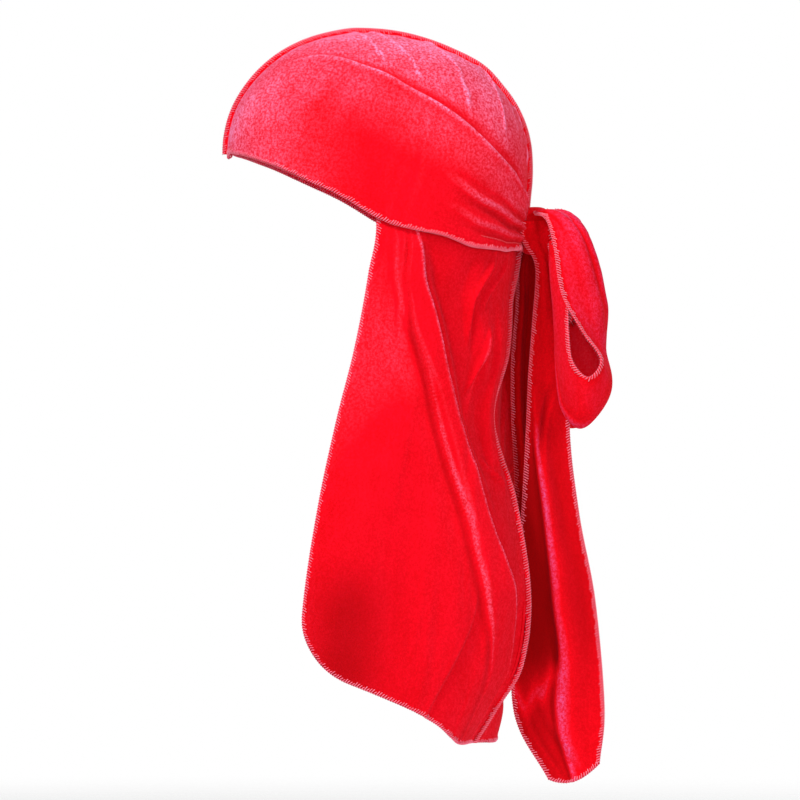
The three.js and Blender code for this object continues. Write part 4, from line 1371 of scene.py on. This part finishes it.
        # Painted highlight on the top of the main pleat and on the crumples in the pocket.
        lit = 0.03 * smooth((u - left) / 0.03) * smooth((right - u) / 0.03)
        crumple = creases(u, fall, seed=60 + side.value, count=24, width=0.016, slant=0.2)
        crumple = np.maximum(0, crumple) * pocket
        fade = 1 - smooth((fall - 0.72) / 0.2) * 0.5
        edges = (0.4 * lines - 0.36 * beside) * fade
        # Sum of the painted light and shade, with a painted highlight on every fold crest and painted shade
        # in every hollow.
        return (painted_sheen_low_shade + bands + lit + edges + 0.3 * crumple - 0.16 * pocket - 0.5 * patch
                + 0.14 * standing(rise, 4))

    def seam_frame(self, v: np.ndarray) -> tuple[np.ndarray, np.ndarray, np.ndarray]:
        """Finds where the seam runs.

        Args:
            v: Shares from the tucked top to the hem.

        Returns:
            Its points, the ways it stands out and its thickness ways.
        """
        one = np.ones_like(v)
        at = (self.face(Side.LEFT, one, v, 0) + self.face(Side.RIGHT, one, v, 0)) / 2
        aside = self.face(Side.LEFT, 0.93 * one, v, 0) - self.face(Side.RIGHT, 0.93 * one, v, 0)
        aside[..., 2] = 0
        aside = unit(aside)
        return at, np.stack([-aside[..., 1], aside[..., 0], 0 * v], -1), aside

    def panel(self, side: Side) -> None:
        """Makes one half with the overlock of its free edge and hem.

        Args:
            side: Which half.
        """
        word = side.name.lower()
        across = np.linspace(0, 1, self.columns) ** 1.15
        u, v = np.meshgrid(across, np.linspace(0, 1, self.rows), indexing="ij")
        at, _, aside = self.seam_frame(v[0])
        near = (u > self.seam_side)[..., None]

        def clear(points: np.ndarray) -> np.ndarray:
            """Holds the cloth off the seam's middle."""
            off = np.sum((points - at) * aside, -1, keepdims=True) * side.value
            return points + np.where(near, side.value * np.maximum(0, self.seam_hold - off), 0) * aside

        sheet = Sheet(clear(self.face(side, u, v)), -side.value, limit=clear)
        hem = self.hem_levels().read(u, "hem")
        fall = np.clip((CLOTH - sheet.outer[..., 2] - hem) / (self.length - hem), 0, 1)
        piece = sheet.build(f"velvet_flap_{word}", self.painted_light_map(side, u, fall))
        dress(piece, (self.wardrobe.velvet, self.wardrobe.reverse))
        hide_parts(f"flap_{word}")
        for label, which, seed in (("edge", SheetEdge.FIRST_COLUMN, 41), ("hem", SheetEdge.LAST_ROW, 43)):
            edge = sheet.edge(which)
            if which is SheetEdge.FIRST_COLUMN:
                edge = tuple(part[self.bare_rows:] for part in edge)
            self.wardrobe.sew(f"flap_{label}_thread_{word}", edge, seed=seed + side.value)

    def seam(self) -> None:
        """Makes the seam that stands out down the back of the flap, and the thread over it."""
        v = np.linspace(self.seam_top, 1, self.seam_places)
        at, out, aside = self.seam_frame(v)
        sway = self.seam_sway * waver(np.linspace(0, self.seam_waves, len(v)), 9)[:, None]
        shape = np.array(self.seam_section)
        grid = at[:, None] + out[:, None] * shape[None, :, 1:] + aside[:, None] * (
            0.8 * shape[None, :, :1] + sway[:, None] * np.maximum(shape[None, :, 1:], 0) / 2.4)
        piece = add_mesh("flap_seam_allowance", grid.reshape(-1, 3), bar_faces(len(v), len(shape)))
        dress(piece, (self.wardrobe.velvet,))
        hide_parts("flap_seam")
        crest = at + out * (self.seam_rise - 0.3) + aside * sway
        self.wardrobe.sew("flap_seam_thread", (crest, -out, aside), seed=47,
                          stitch=Overlock(reach=3.2, rise=1.3))

    def build(self) -> None:
        """Makes the whole flap."""
        for side in Side:
            self.panel(side)
        self.seam()


@dataclass
class Ribbon:
    """A strip of strap cloth between two edge lines, arched and folded along its length."""

    near: Rule
    far: Rule
    side: int
    bow: Rule
    sag: Rule
    folds: Sequence[Fold]
    columns: int = 230
    rows: int = 46
    seed: int = 1
    fine: float = 0.4
    pile_beyond: bool = False
    shift: float = 3.0

    def sheet(self, mirror: bool = False) -> tuple[Sheet, np.ndarray, np.ndarray, np.ndarray]:
        """Works the strip out.

        Args:
            mirror: Whether it is turned to the other side of the middle plane.

        Returns:
            The sheet, its grids of shares along and across, and how far each place stands out.
        """
        u, v = np.meshgrid(np.linspace(0, 1, self.columns), np.linspace(0, 1, self.rows), indexing="ij")
        arch = 4 * v * (1 - v)
        plain = mix(self.near(u), self.far(u), v)
        plain[..., 2] -= self.sag(u) * arch
        normal = normals_of(plain, 1)[:, self.rows // 2][:, None] * self.side
        small = creases(u, v, seed=self.seed, count=24, width=0.035, slant=0.3)
        rise = self.bow(u) * arch + self.fine * small
        rise = rise + 0.5 * self.fine * waver(u * 3 + v, self.seed + 1) * smooth(u / 0.1)
        for fold in self.folds:
            rise = rise + fold.read(v + 0.012 * waver(u * 2, self.seed + 2), u)
        outer = plain + normal * rise[..., None]
        if mirror:
            outer[..., 0] *= -1
            outer[..., 1] -= self.shift * smooth(u / 0.25) * smooth((1 - u) / 0.25)
        side = -self.side if mirror else self.side
        if self.pile_beyond:
            outer, side = Sheet(outer, side).inner(), -side
        return Sheet(outer, side), u, v, standing(rise, 4) * (-1 if self.pile_beyond else 1)


@dataclass
class Bow:
    """The knot, its two loops and the two long tails of the straps."""

    wardrobe: Wardrobe
    knot_size: tuple[float, float, float] = (24, 23, 30)
    knot_back: float = 114.8
    knot_depth: float = 123.5
    knot_sunk: float = 4.0
    knot_grid: tuple[int, int] = (70, 96)
    loop_width: float = 56
    loop_reach: float = 40
    loop_drop: float = 125
    loop_belly: float = 50
    tail_out: float = 15
    tail_reach: float = 40
    tail_drop: float = 345
    tail_sag: float = 6
    loop_folds: tuple[Fold, ...] = (
        Fold(((0, 0.2, 0.26, -2.4), (0.12, 0.24, 0.3, -1.6), (0.4, 0.3, 0.36, -0.6), (0.6, 0.3, 0.3, 0)),
             0.12, 0.1),
        Fold(((0.02, 0.42, 0.46, 0), (0.1, 0.5, 0.52, -2.2), (0.24, 0.57, 0.58, -1.8),
              (0.42, 0.64, 0.65, -0.8), (0.5, 0.66, 0.67, 0)), 0.14, 0.014),
        Fold(((0.04, 0.7, 0.72, 0), (0.12, 0.76, 0.78, -2.4), (0.26, 0.84, 0.85, -1.6), (0.36, 0.88, 0.9, 0)),
             0.012, 0.08),
        Fold(((0.52, 0.3, 0.32, 0), (0.58, 0.34, 0.36, -1.8), (0.68, 0.5, 0.52, -1.4), (0.76, 0.6, 0.62, 0)),
             0.08, 0.02),
        Fold(((0.55, 0.6, 0.66, 0), (0.7, 0.66, 0.7, 1.6), (0.9, 0.6, 0.64, 1.2), (1, 0.6, 0.62, 0)),
             0.1, 0.1))
    tail_folds: tuple[Fold, ...] = (
        Fold(((0.46, 0.12, 0.16, 0), (0.57, 0.2, 0.24, 3.4), (0.667, 0.375, 0.42, 5), (0.73, 0.46, 0.5, 5.6),
              (0.78, 0.5, 0.55, 6), (0.83, 0.56, 0.6, 6), (0.885, 0.5, 0.6, 5), (1, 0.5, 0.6, 3)),
             0.07, 0.34),
        Fold(((0, 0.3, 0.4, 1.6), (0.2, 0.34, 0.44, 1.2), (0.45, 0.5, 0.6, 0.8), (0.6, 0.6, 0.7, 0)),
             0.2, 0.2),
        Fold(((0.46, 0.55, 0.6, 0), (0.52, 0.4, 0.45, -2), (0.58, 0.3, 0.34, -1.6), (0.64, 0.3, 0.32, 0)),
             0.12, 0.1),
        Fold(((0.84, 0.1, 0.2, 0), (0.9, 0.2, 0.3, -1.8), (0.96, 0.3, 0.5, -2), (1, 0.4, 0.6, -0.6)),
             0.1, 0.12))
    far_tail_folds: tuple[Fold, ...] = (
        Fold(((0, 0.16, 0.2, 1), (0.4, 0.18, 0.22, 2.4), (0.7, 0.2, 0.24, 3.6), (1, 0.2, 0.24, 4.4)),
             0.12, 0.12),
        Fold(((0, 0.5, 0.52, -1), (0.5, 0.48, 0.52, -2.6), (1, 0.48, 0.52, -4.6)), 0.16, 0.16),
        Fold(((0, 0.8, 0.82, 1), (1, 0.78, 0.82, 3.6)), 0.12, 0.12))

    def knot(self) -> None:
        """Makes the wrap of the knot, with the cloth's folds running round it."""
        rings, turns = self.knot_grid
        angle, turn = np.meshgrid(np.linspace(0.02, math.pi - 0.02, rings),
                                  np.linspace(0, 2 * math.pi, turns, endpoint=False), indexing="ij")
        radius = np.sin(angle) ** 0.6
        folds = 1 - 0.05 * (1 + np.cos(angle * 6 + np.sin(turn)))
        folds = folds + 0.02 * waver(angle * 2 + np.sin(turn * 2) * 0.4, 7)
        size = np.array(self.knot_size) / 2
        grid = np.stack([np.cos(turn) * radius * folds * size[0], np.sin(turn) * radius * folds * size[1],
                         np.cos(angle) * size[2]], -1)
        grid = grid + [0, self.knot_back - self.knot_sunk, CLOTH - self.knot_depth]
        i, j = np.meshgrid(np.arange(rings - 1), np.arange(turns), indexing="ij")
        a, b = i * turns + j, i * turns + (j + 1) % turns
        faces = np.stack([a, a + turns, b + turns, b], -1).reshape(-1, 4)
        corners = np.concatenate([grid.reshape(-1, 3), grid[:1].mean(1), grid[-1:].mean(1)])
        spin = np.arange(turns)
        top, low = rings * turns, rings * turns + 1
        after, last = (spin + 1) % turns, (rings - 1) * turns
        upper = np.stack([np.full(turns, top), spin, after, np.full(turns, top)], -1)
        lower = np.stack([np.full(turns, low), last + after, last + spin, np.full(turns, low)], -1)
        piece = add_mesh("velvet_knot", corners, np.concatenate([faces, upper, lower]))
        dress(piece, (self.wardrobe.velvet,))
        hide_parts("bow_knot")

    def edge(self, table: Table, which: str, size: tuple[float, float, float]) -> Rule:
        """Makes the line of one edge of a strip.

        Args:
            table: The strip's stations.
            which: Which edge.
            size: Lengths that its out, back and down shares stand for.

        Returns:
            A function of the share of the way that gives points.
        """

        def line(u: np.ndarray) -> np.ndarray:
            """Points of the edge at shares of its way."""
            out, back, down = (table.read(u, f"{which}_{part}") * length
                               for part, length in zip(("out", "back", "down"), size))
            return np.stack([out, self.knot_back + back, CLOTH - self.knot_depth - down], -1)

        return line

    def loop(self, side: Side) -> None:
        """Makes one loop with the overlock of its edges.

        Args:
            side: Which loop.
        """
        size = (self.loop_width, self.loop_reach, self.loop_drop)
        ribbon = Ribbon(self.edge(LOOP_STATIONS, "near", size), self.edge(LOOP_STATIONS, "far", size), -1,
                        lambda u: LOOP_STATIONS.read(u, "bow") * self.loop_belly,
                        lambda u: LOOP_STATIONS.read(u, "sag") * self.loop_belly, self.loop_folds,
                        seed=70 + side.value, pile_beyond=True)
        sheet, u, v, folded = ribbon.sheet(side is Side.RIGHT)
        small = creases(u, v, seed=81, count=14, width=0.04)
        # The loop's colour: a slight painted highlight, small random crease marks, and painted highlight on
        # fold crests with painted shade in the folds.
        self.finish(sheet, f"loop_{side.name.lower()}", f"bow_loop_{side.name.lower()}",
                    0.05 + 0.2 * small + 0.6 * folded)

    def tail(self, side: Side) -> None:
        """Makes one tail with the overlock of its edges and end.

        Args:
            side: Which tail.
        """
        table = TAIL_LEFT_STATIONS if side is Side.LEFT else TAIL_RIGHT_STATIONS
        size = (self.tail_out, self.tail_reach, self.tail_drop)
        folds = self.tail_folds if side is Side.LEFT else self.far_tail_folds
        ribbon = Ribbon(self.edge(table, "nape", size), self.edge(table, "outer", size), 1, lambda u: 0 * u,
                        lambda u: self.tail_sag * smooth((u - 0.85) / 0.15), folds, seed=90 + side.value)
        sheet, u, v, folded = ribbon.sheet()
        # Painted highlight on the tail's fold crests and painted shade in its folds, added to its painted
        # light.
        self.finish(sheet, f"tail_{side.name.lower()}", f"tail_{side.name.lower()}",
                    self.tail_lay(side, u, v) + 0.4 * folded)

    def tail_lay(self, side: Side, u: np.ndarray, v: np.ndarray) -> np.ndarray:
        """Paints light and shade over a tail.

        Args:
            side: Which tail.
            u: Shares from the knot to the end.
            v: Shares from the nape edge to the outer edge.

        Returns:
            A number for each place, -1 for painted shade to 1 for painted highlight and sheen.
        """
        main = Table("fall left right rise", self.tail_folds[0].rows)
        crest = main.read(np.clip(u, main.key[0], main.key[-1]), "left")
        low = smooth((u - 0.52) / 0.1)
        # Painted sheen along the ridge of the main fold, lower down the tail.
        painted_ridge_sheen = (bump(v - crest - 0.03, 0.05) + 0.35 * bump(v - crest - 0.1, 0.1)) * low
        painted_ridge_sheen = painted_ridge_sheen * (0.75 + 0.35 * waver(u * 6, 4))
        # Painted sheen towards the tail's end near its outer edge.
        painted_end_sheen = 0.4 * bump(v - 0.86, 0.16) * smooth((u - 0.78) / 0.14)
        beyond = smooth((crest - v) / 0.06)
        # Painted shadow in the valley beside the ridge, and a painted sheen band across it near the end.
        shadow = smooth((crest - 0.01 - v) / 0.05) * low * (1 - 0.85 * smooth((u - 0.82) / 0.05))
        crossing = 0.7 * bump(u - 0.86 + 0.02 * waver(v * 2, 6), 0.014) * beyond
        # A little painted highlight near the knot.
        upper = smooth((0.4 - u) / 0.3) * 0.06
        soft = 0.12 * creases(u, v, seed=85 + side.value, count=16, width=0.04)
        # The far tail gets painted shade everywhere but just below the knot; the near tail is painted darker
        # overall and darker still lower down.
        if side is Side.RIGHT:
            return soft - 0.5 * smooth(u / 0.2)
        return soft + 0.9 * painted_ridge_sheen + painted_end_sheen + crossing - 0.55 * shadow + upper - 0.2 - 0.22 * low

    def finish(self, sheet: Sheet, word: str, node: str, lay: np.ndarray) -> None:
        """Builds a strip and its overlock, and hides the CAD node that it stands for.

        Args:
            sheet: The strip.
            word: What it is called.
            node: CAD node that it stands for.
            lay: Painted shade (-1) to painted highlight and sheen (1) mixed into its colour.
        """
        piece = sheet.build(f"velvet_{word}", lay)
        dress(piece, (self.wardrobe.strap, self.wardrobe.reverse))
        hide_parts(node)
        edges = [SheetEdge.FIRST_ROW, SheetEdge.LAST_ROW]
        if "tail" in word:
            edges.append(SheetEdge.LAST_COLUMN)
        seed = len(word) * 7
        threads = [self.wardrobe.sew(f"{word}_thread_{number}", sheet.edge(which), seed=seed + number)
                   for number, which in enumerate(edges)]

    def build(self) -> None:
        """Makes the whole bow."""
        self.knot()
        for side in Side:
            self.loop(side)
            self.tail(side)


@dataclass
class Studio:
    """Pale floor, soft lights and the camera square to the wearer's left side.

    Its lengths are metres, but millimetres for the sensor and the floor's radius and shift back.
    """

    scale: float = 0.00062
    middle: tuple[float, float] = (0.0267, -0.2274)
    distance: float = 5.0
    photo_width: int = 800
    sensor: float = 36
    nearest: float = 0.03
    aim: tuple[float, float, float] = (0, 0.03, -0.2)
    floor_height: float = -0.53
    floor_radius: float = 1600
    floor_back: float = 30
    floor_sides: int = 96
    view_end: float = 30
    lamps: tuple[tuple[str, tuple[float, float, float], float, float], ...] = (
        ("key", (1.5, -1.0, 1.4), 0.6, 41),
        ("fill", (1.8, 1.3, 0.5), 1.1, 17),
        ("front", (3.0, 0.1, -0.1), 0.7, 8),
        ("back", (-1.5, 1.0, 0.9), 1.2, 12))

    def floor(self) -> None:
        """Makes a pale round floor that fades into the backdrop."""
        turns = self.floor_sides
        spin = np.linspace(0, 2 * math.pi, turns, endpoint=False)
        rim = np.stack([np.cos(spin), np.sin(spin), 0 * spin], -1) * self.floor_radius
        corners = np.concatenate([[[0, 0, 0]], rim])
        corners += [0, self.floor_back, self.floor_height / MM]
        i = np.arange(turns)
        piece = add_mesh("floor", corners, np.stack([0 * i, i + 1, (i + 1) % turns + 1, 0 * i], -1))
        material, hand, shader = start_material("floor_paper")
        hand.fill(shader, {"Base Color": (0.93, 0.93, 0.93, 1), "Roughness": 0.95, "Specular IOR Level": 0.0})
        place = hand.node("ShaderNodeTexCoord").outputs["Object"]
        length = hand.node("ShaderNodeVectorMath", operation="LENGTH")
        flat = hand.node("ShaderNodeVectorMath", operation="MULTIPLY")
        flat.inputs[1].default_value = (1, 1, 0)
        hand.join(place, flat.inputs[0])
        hand.join(flat.outputs["Vector"], length.inputs[0])
        fade = hand.maths("SUBTRACT", 1.0, hand.spread(length.outputs["Value"], 0.5, 1.5))
        hand.join(fade, shader.inputs["Alpha"])
        piece.data.materials.append(material)

    def lamp(self, name: str, place: tuple[float, float, float], size: float, power: float) -> None:
        """Adds a soft square lamp aimed at the durag.

        Args:
            name: Name of the lamp.
            place: Where it stands, in metres.
            size: Width of its panel in metres.
            power: Its power in watts.
        """
        light = bpy.data.lights.new(name, "AREA")
        light.size = size
        light.energy = power
        holder = bpy.data.objects.new(name, light)
        holder.location = place
        aim = Vector(self.aim) - Vector(place)
        holder.rotation_euler = aim.to_track_quat("-Z", "Y").to_euler()
        bpy.context.scene.collection.objects.link(holder)

    def backdrop(self) -> None:
        """Sets a white backdrop that lights the shadows softly."""
        world = bpy.data.worlds.new("studio")
        world.use_nodes = True
        bpy.context.scene.world = world
        hand = NodeHand(world.node_tree)
        nodes = world.node_tree.nodes
        seen, fill = nodes["Background"], hand.node("ShaderNodeBackground")
        hand.fill(seen, {"Color": (1, 1, 1, 1), "Strength": 1.0})
        hand.fill(fill, {"Color": (1, 1, 1, 1), "Strength": 0.3})
        path, both = hand.node("ShaderNodeLightPath"), hand.node("ShaderNodeMixShader")
        hand.join(path.outputs["Is Camera Ray"], both.inputs["Fac"])
        hand.join(fill.outputs["Background"], both.inputs[1])
        hand.join(seen.outputs["Background"], both.inputs[2])
        hand.join(both.outputs["Shader"], nodes["World Output"].inputs["Surface"])

    def camera(self) -> None:
        """Adds the camera, level with the middle of the durag."""
        lens = bpy.data.cameras.new("camera")
        lens.sensor_width = self.sensor
        lens.lens = self.sensor * (self.distance - self.nearest) / (self.scale * self.photo_width)
        lens.clip_end = self.view_end
        holder = bpy.data.objects.new("camera", lens)
        holder.location = (self.distance, self.middle[0], self.middle[1])
        holder.rotation_euler = Vector((-1, 0, 0)).to_track_quat("-Z", "Y").to_euler()
        bpy.context.scene.collection.objects.link(holder)
        bpy.context.scene.camera = holder

    def build(self) -> None:
        """Sets the studio up."""
        self.floor()
        self.backdrop()
        for lamp in self.lamps:
            self.lamp(*lamp)
        self.camera()
        bpy.context.scene.view_settings.view_transform = "Standard"


def main() -> None:
    """Dresses the durag piece by piece."""
    logging.basicConfig(level=logging.INFO, format="%(name)s: %(message)s")
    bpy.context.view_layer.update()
    wardrobe = Wardrobe()
    Crown(wardrobe).build()
    Flap(wardrobe).build()
    Bow(wardrobe).build()
    Studio().build()
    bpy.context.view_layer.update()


if __name__ == "__main__":
    main()
